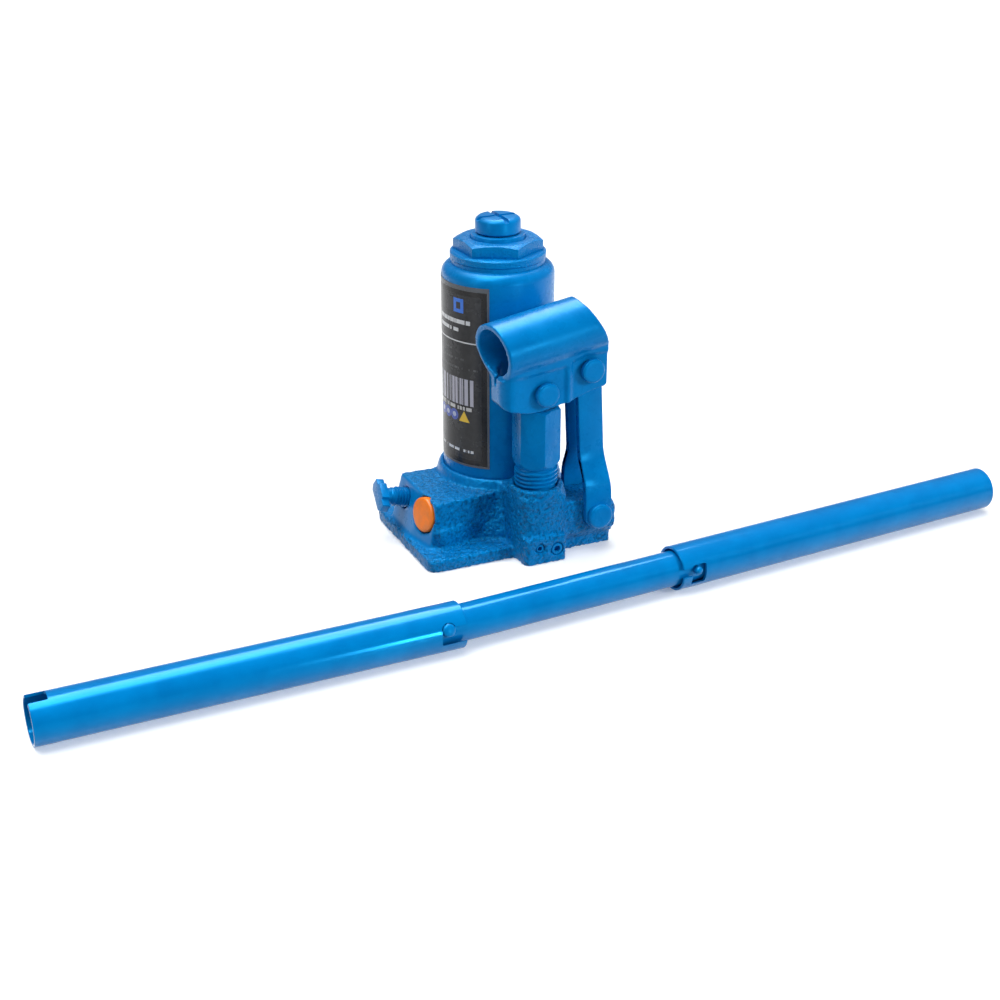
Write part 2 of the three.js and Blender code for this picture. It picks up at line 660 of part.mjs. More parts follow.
piece("pump_barrel", pumpBarrel(), BLUE);
const washer = ring(PUMP_THREAD_RADIUS - 0.2, PLUNGER_RADIUS + FIT, PUMP_SEAT, PUMP_SEAT + GASKET, 24);
piece("pump_barrel_washer", washer.translate(PUMP_X, PUMP_Y, 0), COPPER);
const plungerWiper = ring(PLUNGER_RADIUS + 1.9, PLUNGER_RADIUS + FIT, PUMP_TOP - 4.9, PUMP_TOP - 2.5, 24);
piece("plunger_wiper_ring", plungerWiper.translate(PUMP_X, PUMP_Y, 0), RUBBER);
piece("pump_plunger", pumpPlunger(), STEEL);
const cupSeal = ring(PLUNGER_RADIUS + 0.02, PLUNGER_RADIUS - 1.15, PUMP_SEAT + 3.6, PUMP_SEAT + 5.9, 24);
piece("plunger_cup_seal", cupSeal.translate(PUMP_X, PUMP_Y, 0), RUBBER);

// ---------- lever socket ----------
const tilt = rad(SOCKET_TILT);
const alongSocket = (along, up) => [
  along * Math.cos(tilt) - up * Math.sin(tilt),
  SOCKET_AXIS_LEVEL + along * Math.sin(tilt) + up * Math.cos(tilt),
];

function socketTube(radius, start, end) {
  const barrel = disc(radius, start, end, ROUND).rotateY(Math.PI / 2);
  return barrel.rotateY(-tilt).translate(0, PUMP_Y, SOCKET_AXIS_LEVEL);
}

function handleSocket() {
  const start = -24.5;
  const mouthTop = alongSocket(start, SOCKET_RADIUS + 1);
  const mouthFoot = alongSocket(-21.2, -SOCKET_RADIUS + 2);
  const backTop = alongSocket(23, SOCKET_RADIUS + 1);
  const [mouthX, mouthZ] = alongSocket(-20.4, 0);
  const mouthMiddle = [mouthX, PUMP_Y, mouthZ];
  const side = outline([
    [...mouthTop, 0],
    [...mouthFoot, 0],
    [-19, 84, 2],
    [-18.6, 74.6, 2.5],
    [-12.7, 73, 3],
    [-4.5, 72.1, 4],
    [6, 73.1, 4],
    [16, 76, 4],
    [31.2, 79.8, 2.5],
    [31.2, 99, 1.5],
    [25.4, 109.4, 6],
    [...backTop, 3],
  ]);
  const skirtOuter = prism(outline([
    [-19.2, PUMP_Y - CHEEK_HALF, 8],
    [34, PUMP_Y - CHEEK_HALF, 0],
    [34, PUMP_Y + CHEEK_HALF, 0],
    [-19.2, PUMP_Y + CHEEK_HALF, 8],
  ]), 66, 101);
  const skirtInner = prism(outline([
    [-19.2 + SOCKET_WALL, PUMP_Y - cheekInner, 5.4],
    [40, PUMP_Y - cheekInner, 0],
    [40, PUMP_Y + cheekInner, 0],
    [-19.2 + SOCKET_WALL, PUMP_Y + cheekInner, 5.4],
  ]), 60, SOCKET_AXIS_LEVEL - 3);
  const bore = socketTube(SOCKET_RADIUS - SOCKET_WALL, -30, 60);
  const mouth = block(-40, 0, -50, 50, 2 - SOCKET_RADIUS, 40)
    .rotateZ(rad(MOUTH_SLANT))
    .rotateY(-tilt)
    .translate(...mouthMiddle);
  const seamOutline = outline([[-26, 90, 0], [-26, 80, 0], [-14, 86, 0], [-14, 92, 0]]);
  const seam = sideways(seamOutline, PUMP_Y - 1, PUMP_Y + 1);
  const whole = join(socketTube(SOCKET_RADIUS, start, 34), skirtOuter);
  const shaped = shared(whole, sideways(side, PUMP_Y - 20, PUMP_Y + 20));
  const pinHole = (([x, z]) => bar([x, PUMP_Y - 20, z], [x, PUMP_Y + 20, z], PIN_RADIUS + GAP));
  return cut(shaped, skirtInner, bore, mouth, seam, pinHole(PLUNGER_PIN), pinHole(LINK_TOP_PIN));
}

// A rivet along Y with a low domed head at each end.
function rivet([x, z], radius, headRadius, reach) {
  const head = reach + RIVET_HEAD;
  return turned([
    [0, -head],
    [headRadius - 0.8, -head],
    [headRadius, -head + 0.8],
    [headRadius, -reach],
    [radius, -reach],
    [radius, reach],
    [headRadius, reach],
    [headRadius, head - 0.8],
    [headRadius - 0.8, head],
    [0, head],
  ], SMALL_ROUND).rotateX(Math.PI / 2).translate(x, PUMP_Y, z);
}

piece("handle_socket", handleSocket(), BLUE);
piece("plunger_pin", rivet(PLUNGER_PIN, PIN_RADIUS, RIVET_HEAD_RADIUS, CHEEK_HALF + GAP), BLUE);

// ---------- links ----------
// A flat bar seen from the side, cut from a strip that steps outwards to pass the lug.
function linkBar(sign) {
  const [topX, topZ] = LINK_TOP_PIN;
  const [footX, footZ] = LINK_FOOT_PIN;
  const topHalf = LINK_TOP_WIDTH / 2;
  const footHalf = LINK_FOOT_WIDTH / 2;
  const face = outline([
    [footX - footHalf, footZ - footHalf, footHalf - 0.1],
    [footX + footHalf, footZ - footHalf, footHalf - 0.1],
    [footX + footHalf, footZ + 14, 20],
    [topX + topHalf, topZ - 30, 0],
    [topX + topHalf, topZ + topHalf, topHalf - 0.1],
    [topX - topHalf, topZ + topHalf, topHalf - 0.1],
    [topX - topHalf, topZ - 30, 0],
    [footX - footHalf, footZ + 14, 20],
  ]);
  const strip = outline([
    [linkOuterFoot - LINK_THICKNESS, footZ - 12, 0],
    [linkOuterFoot, footZ - 12, 0],
    [linkOuterFoot, footZ + 15, 8],
    [linkOuterTop, footZ + 29, 8],
    [linkOuterTop, topZ + 12, 0],
    [linkOuterTop - LINK_THICKNESS, topZ + 12, 0],
    [linkOuterTop - LINK_THICKNESS, footZ + 29, 8],
    [linkOuterFoot - LINK_THICKNESS, footZ + 15, 8],
  ]);
  const sweep = { depth: 60, bevelEnabled: false, curveSegments: 4 };
  const stepped = new THREE.ExtrudeGeometry(strip, sweep).rotateX(Math.PI / 2).rotateZ(Math.PI / 2);
  stepped.translate(-5, PUMP_Y, 0);
  const blank = shared(sideways(face, PUMP_Y - 20, PUMP_Y + 20), stepped);
  const holes = [
    bar([topX, PUMP_Y - 20, topZ], [topX, PUMP_Y + 20, topZ], PIN_RADIUS + PRESS),
    bar([footX, PUMP_Y - 20, footZ], [footX, PUMP_Y + 20, footZ], FOOT_PIN_RADIUS + PRESS),
  ];
  const far = cut(blank, ...holes);
  if (sign > 0) return far;
  const near = far.clone().translate(0, -PUMP_Y, 0).scale(1, -1, 1).translate(0, PUMP_Y, 0);
  const order = near.index.array;
  for (let i = 0; i < order.length; i += 3) [order[i + 1], order[i + 2]] = [order[i + 2], order[i + 1]];
  near.computeVertexNormals();
  return near;
}

piece("link_bar_front", linkBar(-1), BLUE);
piece("link_bar_rear", linkBar(1), BLUE);
piece("link_pin_upper", rivet(LINK_TOP_PIN, PIN_RADIUS, RIVET_HEAD_RADIUS, linkPinReach), BLUE);
const footRivet = rivet(LINK_FOOT_PIN, FOOT_PIN_RADIUS, RIVET_HEAD_RADIUS + 0.4, footPinReach - GAP + 0.05);
piece("link_pin_lower", footRivet, BLUE);

// ---------- release valve and oil filler ----------
function releaseScrew() {
  const thread = threaded(VALVE_THREAD_RADIUS, -1, VALVE_REACH, 1.5);
  const shank = turned([
    [0, -13],
    [0.8, -13],
    [3.4, -10.4],
    [3.4, -6],
    [VALVE_THREAD_RADIUS - 0.3, -6],
    [VALVE_THREAD_RADIUS - 0.3, 0],
    [0, 0],
  ], SMALL_ROUND);
  const neck = disc(3.7, VALVE_REACH - 1, VALVE_REACH + 2.5, SMALL_ROUND);
  const wide = 8;
  const ears = prism(outline([
    [-2.6, -wide, 1],
    [2.6, -wide, 1],
    [4, -4, 0],
    [4, 4, 0],
    [2.6, wide, 1],
    [-2.6, wide, 1],
    [-4, 4, 0],
    [-4, -4, 0],
  ]), VALVE_REACH + 2, VALVE_REACH + 5.8);
  return join(shank, thread, neck, ears.rotateZ(rad(-30)));
}

piece("release_valve_screw", releaseScrew(), BLUE, valveFrame);
piece("release_valve_o_ring", ring(4.8, 3.45, -9.6, -7.6, SMALL_ROUND), RUBBER, valveFrame);
piece("release_valve_ball", new THREE.SphereGeometry(1.6, 12, 8).translate(0, 0, -15), STEEL, valveFrame);
piece("oil_filler_plug", turned([
  [0, -11],
  [3.2, -11],
  [4, -9.5],
  [4, -3.6],
  [FILLER_RADIUS, -3.6],
  [FILLER_RADIUS, 0],
  [FILLER_RADIUS - 0.9, 0.6],
  [0, 0.9],
], 24), ORANGE, fillerFrame);

// ---------- rating label ----------
function label() {
  const inner = TANK_RADIUS + 0.05;
  const outer = inner + LABEL_THICKNESS;
  const arc = new THREE.Shape();
  arc.absarc(0, 0, outer, rad(LABEL_START), rad(LABEL_END), false);
  arc.absarc(0, 0, inner, rad(LABEL_END), rad(LABEL_START), true);
  arc.closePath();
  const options = { depth: LABEL_TOP - LABEL_BOTTOM, bevelEnabled: false, curveSegments: 40 };
  return new THREE.ExtrudeGeometry(arc, options).translate(0, 0, LABEL_BOTTOM);
}

piece("rating_label", label(), LABEL);

// ---------- handle ----------
const heading = (degrees) => new THREE.Vector2(Math.cos(rad(degrees)), Math.sin(rad(degrees)));

// A tube along +X from the frame's origin, lying on the floor.
function pipe(radius, wall, length) {
  return ring(radius, radius - wall, 0, length, ROUND).rotateY(Math.PI / 2);
}

// A cutter through the tube's wall on the near side, leaning up by the given degrees.
function sideCut(x0, x1, low, high, lean) {
  return block(x0, x1, -30, 0, low, high).rotateX(rad(-lean));
}

function layOnFloor(x, y, degrees) {
  const frame = new THREE.Group();
  frame.position.set(x, y, HANDLE_RADIUS);
  frame.rotation.z = rad(degrees);
  jack.add(frame);
  return frame;
}

const frontWay = heading(FRONT_TUBE_HEADING);
const rearWay = heading(REAR_TUBE_HEADING);
const frontEnd = new THREE.Vector2(...FRONT_TUBE_FOOT).addScaledVector(frontWay, FRONT_TUBE_LENGTH);
const rearStart = new THREE.Vector2(...REAR_TUBE_START);
const frontHold = frontEnd.clone().addScaledVector(frontWay, -HANDLE_OVERLAP / 2);
const rearHold = rearStart.clone().addScaledVector(rearWay, HANDLE_OVERLAP / 2);
const between = rearHold.clone().sub(frontHold);
const middleHeading = THREE.MathUtils.radToDeg(between.angle());
const middleLength = between.length() + HANDLE_OVERLAP;
const middleStart = frontHold.clone().addScaledVector(heading(middleHeading), -HANDLE_OVERLAP / 2);
const frontPinAt = HANDLE_OVERLAP - 8.5; // from the middle tube's left end
const rearPinAt = middleLength - HANDLE_OVERLAP + 7.7;

function frontTube() {
  const tube = pipe(HANDLE_RADIUS, HANDLE_WALL, FRONT_TUBE_LENGTH);
  const keyNotch = block(-1, KEY_NOTCH_DEPTH, -KEY_NOTCH_HALF, KEY_NOTCH_HALF, 0, 20);
  const reach = JOINT_PIN_RADIUS + GAP + 0.3;
  const notchStart = FRONT_TUBE_LENGTH - 8.5 - reach;
  const pinNotch = sideCut(notchStart + reach, FRONT_TUBE_LENGTH + 1, -5.9, reach, FRONT_PIN_LEAN);
  const seat = disc(reach, 0, 20, SMALL_ROUND)
    .rotateX(rad(90 - FRONT_PIN_LEAN))
    .translate(notchStart + reach, 0, 0);
  return cut(tube, keyNotch, pinNotch, seat);
}

// The pin slides in along the neck and drops into the pocket when the tube is turned.
function rearTube() {
  const tube = pipe(HANDLE_RADIUS, HANDLE_WALL, REAR_TUBE_LENGTH);
  const reach = REAR_PIN_RADIUS + GAP;
  const neck = sideCut(-1, 8, -reach, reach, REAR_PIN_LEAN);
  const pocket = sideCut(4.5, 4.5 + 3.2 + reach + 2, -6.2, reach + 0.8, REAR_PIN_LEAN);
  return cut(tube, neck, pocket);
}

function middleTube() {
  const tube = pipe(MIDDLE_RADIUS, MIDDLE_WALL, middleLength);
  const hole = (at, radius, lean) =>
    disc(radius + 0.1, 0, 20, SMALL_ROUND).rotateX(rad(90 - lean)).translate(at, 0, 0);
  const frontHole = hole(frontPinAt, JOINT_PIN_RADIUS, FRONT_PIN_LEAN);
  const rearHole = hole(rearPinAt, REAR_PIN_RADIUS, REAR_PIN_LEAN);
  return cut(tube, frontHole, rearHole);
}

function joinPin(at, radius, lean) {
  const tip = HANDLE_RADIUS + 1.2;
  return turned([
    [0, MIDDLE_RADIUS - MIDDLE_WALL - 0.6],
    [radius, MIDDLE_RADIUS - MIDDLE_WALL - 0.6],
    [radius, tip - 0.8],
    [radius * 0.6, tip - 0.1],
    [0, tip],
  ], SMALL_ROUND).rotateX(rad(90 - lean)).translate(at, 0, 0);
}

const frontFrame = layOnFloor(...FRONT_TUBE_FOOT, FRONT_TUBE_HEADING);
const middleFrame = layOnFloor(middleStart.x, middleStart.y, middleHeading);
const rearFrame = layOnFloor(...REAR_TUBE_START, REAR_TUBE_HEADING);
piece("handle_front_tube", frontTube(), BLUE, frontFrame);
piece("handle_middle_tube", middleTube(), BLUE, middleFrame);
piece("handle_rear_tube", rearTube(), BLUE, rearFrame);
piece("front_joint_pin", joinPin(frontPinAt, JOINT_PIN_RADIUS, FRONT_PIN_LEAN), BLUE, middleFrame);
piece("rear_joint_pin", joinPin(rearPinAt, REAR_PIN_RADIUS, REAR_PIN_LEAN), BLUE, middleFrame);

export default jack;
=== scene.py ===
import json
import math

import bpy
from bpy.props import FloatProperty, FloatVectorProperty, IntProperty, PointerProperty
from mathutils import Matrix, Vector

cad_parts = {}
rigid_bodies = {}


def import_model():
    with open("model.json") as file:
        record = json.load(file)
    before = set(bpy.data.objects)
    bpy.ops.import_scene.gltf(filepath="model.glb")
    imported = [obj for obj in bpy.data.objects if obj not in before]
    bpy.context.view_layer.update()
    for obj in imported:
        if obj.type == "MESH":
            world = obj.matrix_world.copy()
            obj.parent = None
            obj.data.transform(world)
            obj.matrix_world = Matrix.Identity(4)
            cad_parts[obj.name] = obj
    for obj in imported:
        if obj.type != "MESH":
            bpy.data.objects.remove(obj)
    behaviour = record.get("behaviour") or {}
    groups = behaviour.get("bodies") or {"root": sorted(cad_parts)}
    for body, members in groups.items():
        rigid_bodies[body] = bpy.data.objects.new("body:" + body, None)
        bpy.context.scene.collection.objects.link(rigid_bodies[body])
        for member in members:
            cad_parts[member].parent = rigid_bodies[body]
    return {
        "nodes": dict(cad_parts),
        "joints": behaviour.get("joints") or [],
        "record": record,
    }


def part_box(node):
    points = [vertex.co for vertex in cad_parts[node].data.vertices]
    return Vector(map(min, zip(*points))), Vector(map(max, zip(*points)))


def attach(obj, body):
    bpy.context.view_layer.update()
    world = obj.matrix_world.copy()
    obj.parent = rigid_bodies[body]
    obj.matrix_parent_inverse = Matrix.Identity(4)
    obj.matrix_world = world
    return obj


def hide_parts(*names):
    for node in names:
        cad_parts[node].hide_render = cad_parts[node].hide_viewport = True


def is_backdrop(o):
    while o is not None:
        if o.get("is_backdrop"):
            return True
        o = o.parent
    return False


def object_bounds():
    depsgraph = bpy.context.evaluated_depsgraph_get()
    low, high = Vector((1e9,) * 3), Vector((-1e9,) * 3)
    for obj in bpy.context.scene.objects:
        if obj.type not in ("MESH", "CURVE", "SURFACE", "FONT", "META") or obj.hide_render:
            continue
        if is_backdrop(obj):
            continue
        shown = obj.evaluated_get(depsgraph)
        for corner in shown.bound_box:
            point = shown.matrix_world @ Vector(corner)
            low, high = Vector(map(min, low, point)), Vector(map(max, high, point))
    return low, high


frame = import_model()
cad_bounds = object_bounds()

bl_info = {
    "name": "Bottle Jack Finish",
    "version": (1, 0, 0),
    "blender": (4, 5, 0),
    "location": "View3D > Sidebar > Bottle Jack",
    "description": "Builds the finished surfaces of a small hydraulic bottle jack and its handle",
    "category": "Object",
}

MM = 0.001
SHEEN_BLUE = (0.02, 0.5, 1.0)
JOINTS = {joint["name"]: joint for joint in frame["joints"]}

# Two hexagons: across the flats, and the turn from the long axis to a corner.
NUT_FLATS = 35 * MM
NUT_TURN = math.radians(31.5)
PUMP_FLATS = 19 * MM
PUMP_TURN = math.radians(25.5)
# The lever socket: its upward slope, the height of its axis at the pivot, and the cut of its mouth.
LEVER_TILT = math.radians(9.6)
LEVER_LEVEL = 102.15 * MM
MOUTH_SLANT = math.radians(10.3)
# The label: its left edge and how far it goes round the tube, its gap to the tube and its thickness.
LABEL_START = math.radians(-262)
LABEL_SWEEP = math.radians(139)
LABEL_GAP = 0.03 * MM
LABEL_FILM = 0.22 * MM
# The release valve's ears at rest.
EAR_TURN = math.radians(-30)


# ---------------------------------------------------------------- settings
def length_setting(name, description, millimetres):
    return FloatProperty(
        name=name, description=description, default=millimetres * MM, unit="LENGTH", precision=5,
    )


def paint_setting(name, description, colour):
    return FloatVectorProperty(
        name=name, description=description, subtype="COLOR", size=3, default=colour, min=0, max=1,
    )


def strength_setting(name, description, default):
    return FloatProperty(name=name, description=description, default=default, min=0)


def power_setting(name, description, default):
    return FloatProperty(name=name, description=description, default=default, min=0, unit="POWER")


def turn_setting(name, description, degrees):
    return FloatProperty(
        name=name, description=description, default=math.radians(degrees), subtype="ANGLE", unit="ROTATION",
    )


class JackSizes(bpy.types.PropertyGroup):
    """Sizes of the finished pieces that the frame doesn't give by itself."""

    sides: IntProperty(name="Round sides", description="Facets round a large tube", default=112, min=24)
    edge: length_setting("Edge radius", "Rounding of a machined edge", 0.35)
    casting_grain: length_setting("Casting grain", "Height of the sand-cast skin", 0.5)
    casting_cell: length_setting("Casting cell", "Mesh spacing on the casting", 0.8)
    sheet_wall: length_setting("Sheet wall", "Thickness of the lever socket's sheet", 2.6)
    cheek_half: length_setting("Cheek half width", "From the lever's middle to a cheek's outer face", 10.0)
    screw_pitch: length_setting("Screw pitch", "Rise of the extension screw in one turn", 2.5)
    link_thickness: length_setting("Link thickness", "Thickness of a link bar", 3.3)
    tube_wall: length_setting("Tube wall", "Wall of the outer handle tubes", 1.2)


class JackColours(bpy.types.PropertyGroup):
    """Paint, rubber and metal colours."""

    blue: paint_setting("Blue enamel", "Main paint", (0.0, 0.19, 0.52))
    deep_blue: paint_setting("Deep blue", "Paint where it lies thick", (0.0, 0.145, 0.42))
    orange: paint_setting("Plug orange", "Filler plug rubber", (1.0, 0.22, 0.003))
    steel: paint_setting("Steel", "Bare oiled steel", (0.52, 0.53, 0.55))
    label: paint_setting("Label black", "Ground of the rating label", (0.008, 0.009, 0.011))


class StageSettings(bpy.types.PropertyGroup):
    """Floor, lights and camera."""

    sun: strength_setting("Main light", "Light from the right front", 2.2)
    overhead: strength_setting("Overhead", "Broad light from above", 3.3)
    streak_power: power_setting("Strip light", "Overhead strip that shows in the tubes", 26.0)
    side_power: power_setting("Side light", "Card on the left", 4.0)
    glint_power: power_setting("Glint", "Low strips beside the camera", 1.3)
    sky: strength_setting("Sky", "White surroundings overhead", 0.5)
    horizon: strength_setting("Horizon", "Surroundings at eye level", 0.2)
    below: strength_setting("Below", "Light thrown up by the floor", 0.62)
    focal_length: FloatProperty(name="Focal length", description="Camera lens in mm", default=59.31, min=1)
    camera_place: FloatVectorProperty(
        name="Camera place", description="Where the camera stands",
        subtype="TRANSLATION", size=3, unit="LENGTH",
        default=(-0.29639, -0.65263, 0.3315), precision=5,
    )
    camera_pitch: turn_setting("Camera pitch", "Angle below the horizon", 24.164)
    camera_heading: turn_setting("Camera heading", "Turn to the right of straight ahead", 24.5)


def sizes():
    return bpy.context.scene.jack_sizes


def colours():
    return bpy.context.scene.jack_colours


# ---------------------------------------------------------------- working with the mesh tools
def clear_selection():
    if bpy.context.object and bpy.context.object.mode != "OBJECT":
        bpy.ops.object.mode_set(mode="OBJECT")
    for obj in bpy.context.view_layer.objects:
        obj.select_set(False)


def pick(obj):
    clear_selection()
    obj.select_set(True)
    bpy.context.view_layer.objects.active = obj
    return obj


def named(name):
    obj = bpy.context.object
    obj.name = name
    obj.data.name = name
    return obj


def settle(obj):
    """Puts the object's place into its mesh, so that the object itself stands at the origin."""
    pick(obj)
    bpy.ops.object.transform_apply(location=True, rotation=True, scale=True)
    return obj


def move_to(obj, matrix):
    obj.matrix_world = matrix @ obj.matrix_world
    return settle(obj)


def tidy_shell(obj, merge=0.001 * MM):
    """Merges doubles and turns every face outwards."""
    pick(obj)
    bpy.ops.object.mode_set(mode="EDIT")
    bpy.ops.mesh.select_all(action="SELECT")
    bpy.ops.mesh.remove_doubles(threshold=merge)
    bpy.ops.mesh.normals_make_consistent(inside=False)
    bpy.ops.object.mode_set(mode="OBJECT")
    return obj


def shade(obj, angle=35):
    pick(obj)
    bpy.ops.object.shade_smooth_by_angle(angle=math.radians(angle))
    return obj


def run_modifier(obj, kind, **settings):
    pick(obj)
    bpy.ops.object.modifier_add(type=kind)
    modifier = obj.modifiers[-1]
    for key, value in settings.items():
        setattr(modifier, key, value)
    bpy.ops.object.modifier_apply(modifier=modifier.name)
    return obj


def combine(obj, other, operation="DIFFERENCE"):
    """Cuts, joins or intersects a piece with another one, which is used up."""
    run_modifier(obj, "BOOLEAN", operation=operation, solver="EXACT", object=other)
    bpy.data.objects.remove(other)
    return obj


def weld(obj, other):
    """Makes two shells one mesh without cutting them."""
    clear_selection()
    other.select_set(True)
    obj.select_set(True)
    bpy.context.view_layer.objects.active = obj
    bpy.ops.object.join()
    return obj


def round_edges(obj, width=None, angle=30, segments=3):
    width = sizes().edge if width is None else width
    return run_modifier(
        obj, "BEVEL", width=width, segments=segments, limit_method="ANGLE", angle_limit=math.radians(angle),
        use_clamp_overlap=True,
    )


def melt(obj, cell, passes):
    """Redraws a shell in even cells and softens it, which fills its inner corners as paint and casting do."""
    run_modifier(obj, "REMESH", mode="VOXEL", voxel_size=cell, adaptivity=0.0, use_smooth_shade=True)
    return run_modifier(obj, "SMOOTH", factor=0.5, iterations=passes)


def turned(name, profile, sides=None):
    """A turned solid about Z, drawn along (radius, height) steps and closed at both ends or on itself."""
    sides = sides or sizes().sides
    radius, height = profile[0]
    clear_selection()
    bpy.ops.mesh.primitive_circle_add(
        vertices=sides, radius=radius, location=(0, 0, height), fill_type="NOTHING"
    )
    obj = settle(named(name))
    bpy.ops.object.mode_set(mode="EDIT")
    bpy.ops.mesh.select_all(action="SELECT")
    for next_radius, next_height in profile[1:]:
        bpy.ops.mesh.extrude_region_move(TRANSFORM_OT_translate={"value": (0, 0, next_height - height)})
        scale = next_radius / radius
        bpy.ops.transform.resize(value=(scale, scale, 1), center_override=(0, 0, next_height))
        radius, height = next_radius, next_height
    bpy.ops.mesh.select_all(action="SELECT")
    bpy.ops.mesh.remove_doubles(threshold=0.001 * MM)
    bpy.ops.mesh.select_all(action="SELECT")
    bpy.ops.mesh.fill_holes(sides=0)
    bpy.ops.mesh.select_all(action="SELECT")
    bpy.ops.mesh.normals_make_consistent(inside=False)
    bpy.ops.object.mode_set(mode="OBJECT")
    return obj


def pipe(name, outer, inner, low, high, lip, sides=None):
    """A tube about Z with eased rims."""
    return turned(name, [
        (inner, low + lip), (inner + lip, low), (outer - lip, low), (outer, low + lip),
        (outer, high - lip), (outer - lip, high), (inner + lip, high),
        (inner, high - lip), (inner, low + lip),
    ], sides)


def rod(name, radius, low, high, sides=None):
    clear_selection()
    bpy.ops.mesh.primitive_cylinder_add(
        vertices=sides or sizes().sides, radius=radius, depth=high - low, location=(0, 0, (low + high) / 2)
    )
    return settle(named(name))


def slab(name, low, high):
    """A block between two corners."""
    low, high = Vector(low), Vector(high)
    clear_selection()
    bpy.ops.mesh.primitive_cube_add(size=1, location=(low + high) / 2)
    obj = named(name)
    obj.scale = high - low
    return settle(obj)


def select_edges(obj, wanted):
    """Enters edit mode with only the edges selected that wanted(start, end) accepts."""
    pick(obj)
    bpy.ops.object.mode_set(mode="EDIT")
    bpy.ops.mesh.select_mode(type="EDGE")
    bpy.ops.mesh.select_all(action="DESELECT")
    bpy.ops.object.mode_set(mode="OBJECT")
    points = [vertex.co for vertex in obj.data.vertices]
    for edge in obj.data.edges:
        edge.select = wanted(points[edge.vertices[0]], points[edge.vertices[1]])
    bpy.ops.object.mode_set(mode="EDIT")


def bevel_edges(obj, wanted, width, segments=8):
    select_edges(obj, wanted)
    bpy.ops.mesh.bevel(offset=width, segments=segments, affect="EDGES")
    bpy.ops.object.mode_set(mode="OBJECT")
    return obj


def coil_thread(name, root, crest, pitch, low, high, sides=48):
    """A screw thread's ridge, wound from low to high, with its foot sunk below the root."""
    turns = int((high - low - pitch) / pitch)
    sunk = root - 0.25 * MM
    clear_selection()
    bpy.ops.mesh.primitive_plane_add(size=pitch * 0.8, location=((sunk + crest) / 2, 0, low + pitch / 2),
                                     rotation=(math.pi / 2, 0, 0))
    obj = settle(named(name))
    for vertex in obj.data.vertices:
        outer = vertex.co.x > (sunk + crest) / 2
        vertex.co.x = crest if outer else sunk
        rise = vertex.co.z - (low + pitch / 2)
        vertex.co.z = low + pitch / 2 + rise * (0.35 if outer else 1.1)
    run_modifier(obj, "SCREW", axis="Z", angle=2 * math.pi, screw_offset=pitch, iterations=max(turns, 1),
                 steps=sides, render_steps=sides, use_merge_vertices=False)
    pick(obj)
    bpy.ops.object.mode_set(mode="EDIT")
    bpy.ops.mesh.select_all(action="SELECT")
    bpy.ops.mesh.fill_holes(sides=0)
    bpy.ops.mesh.select_all(action="SELECT")
    bpy.ops.mesh.normals_make_consistent(inside=False)
    bpy.ops.object.mode_set(mode="OBJECT")
    return obj


def copy_of_node(name, node):
    """A merged copy of a frame node, as the start of a finer piece."""
    source = frame["nodes"][node]
    obj = bpy.data.objects.new(name, source.data.copy())
    bpy.context.scene.collection.objects.link(obj)
    obj.data.name = name
    obj.data.materials.clear()
    return tidy_shell(obj)


def finish_piece(obj, body, material, slot, *nodes):
    obj.data.materials.clear()
    obj.data.materials.append(material)
    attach(obj, body)
    if nodes:
        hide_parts(*nodes)
    return obj


def along(axis, at):
    """A matrix that stands a piece made about Z at a point, with its Z along the axis."""
    direction = Vector(axis).normalized()
    return Matrix.Translation(Vector(at)) @ direction.to_track_quat("Z", "Y").to_matrix().to_4x4()


# ---------------------------------------------------------------- places read from the frame
def middle(node):
    low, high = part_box(node)
    return (low + high) / 2


def top(node):
    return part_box(node)[1].z


def bottom(node):
    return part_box(node)[0].z


def half_width(node):
    low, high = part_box(node)
    return (high.x - low.x) / 2


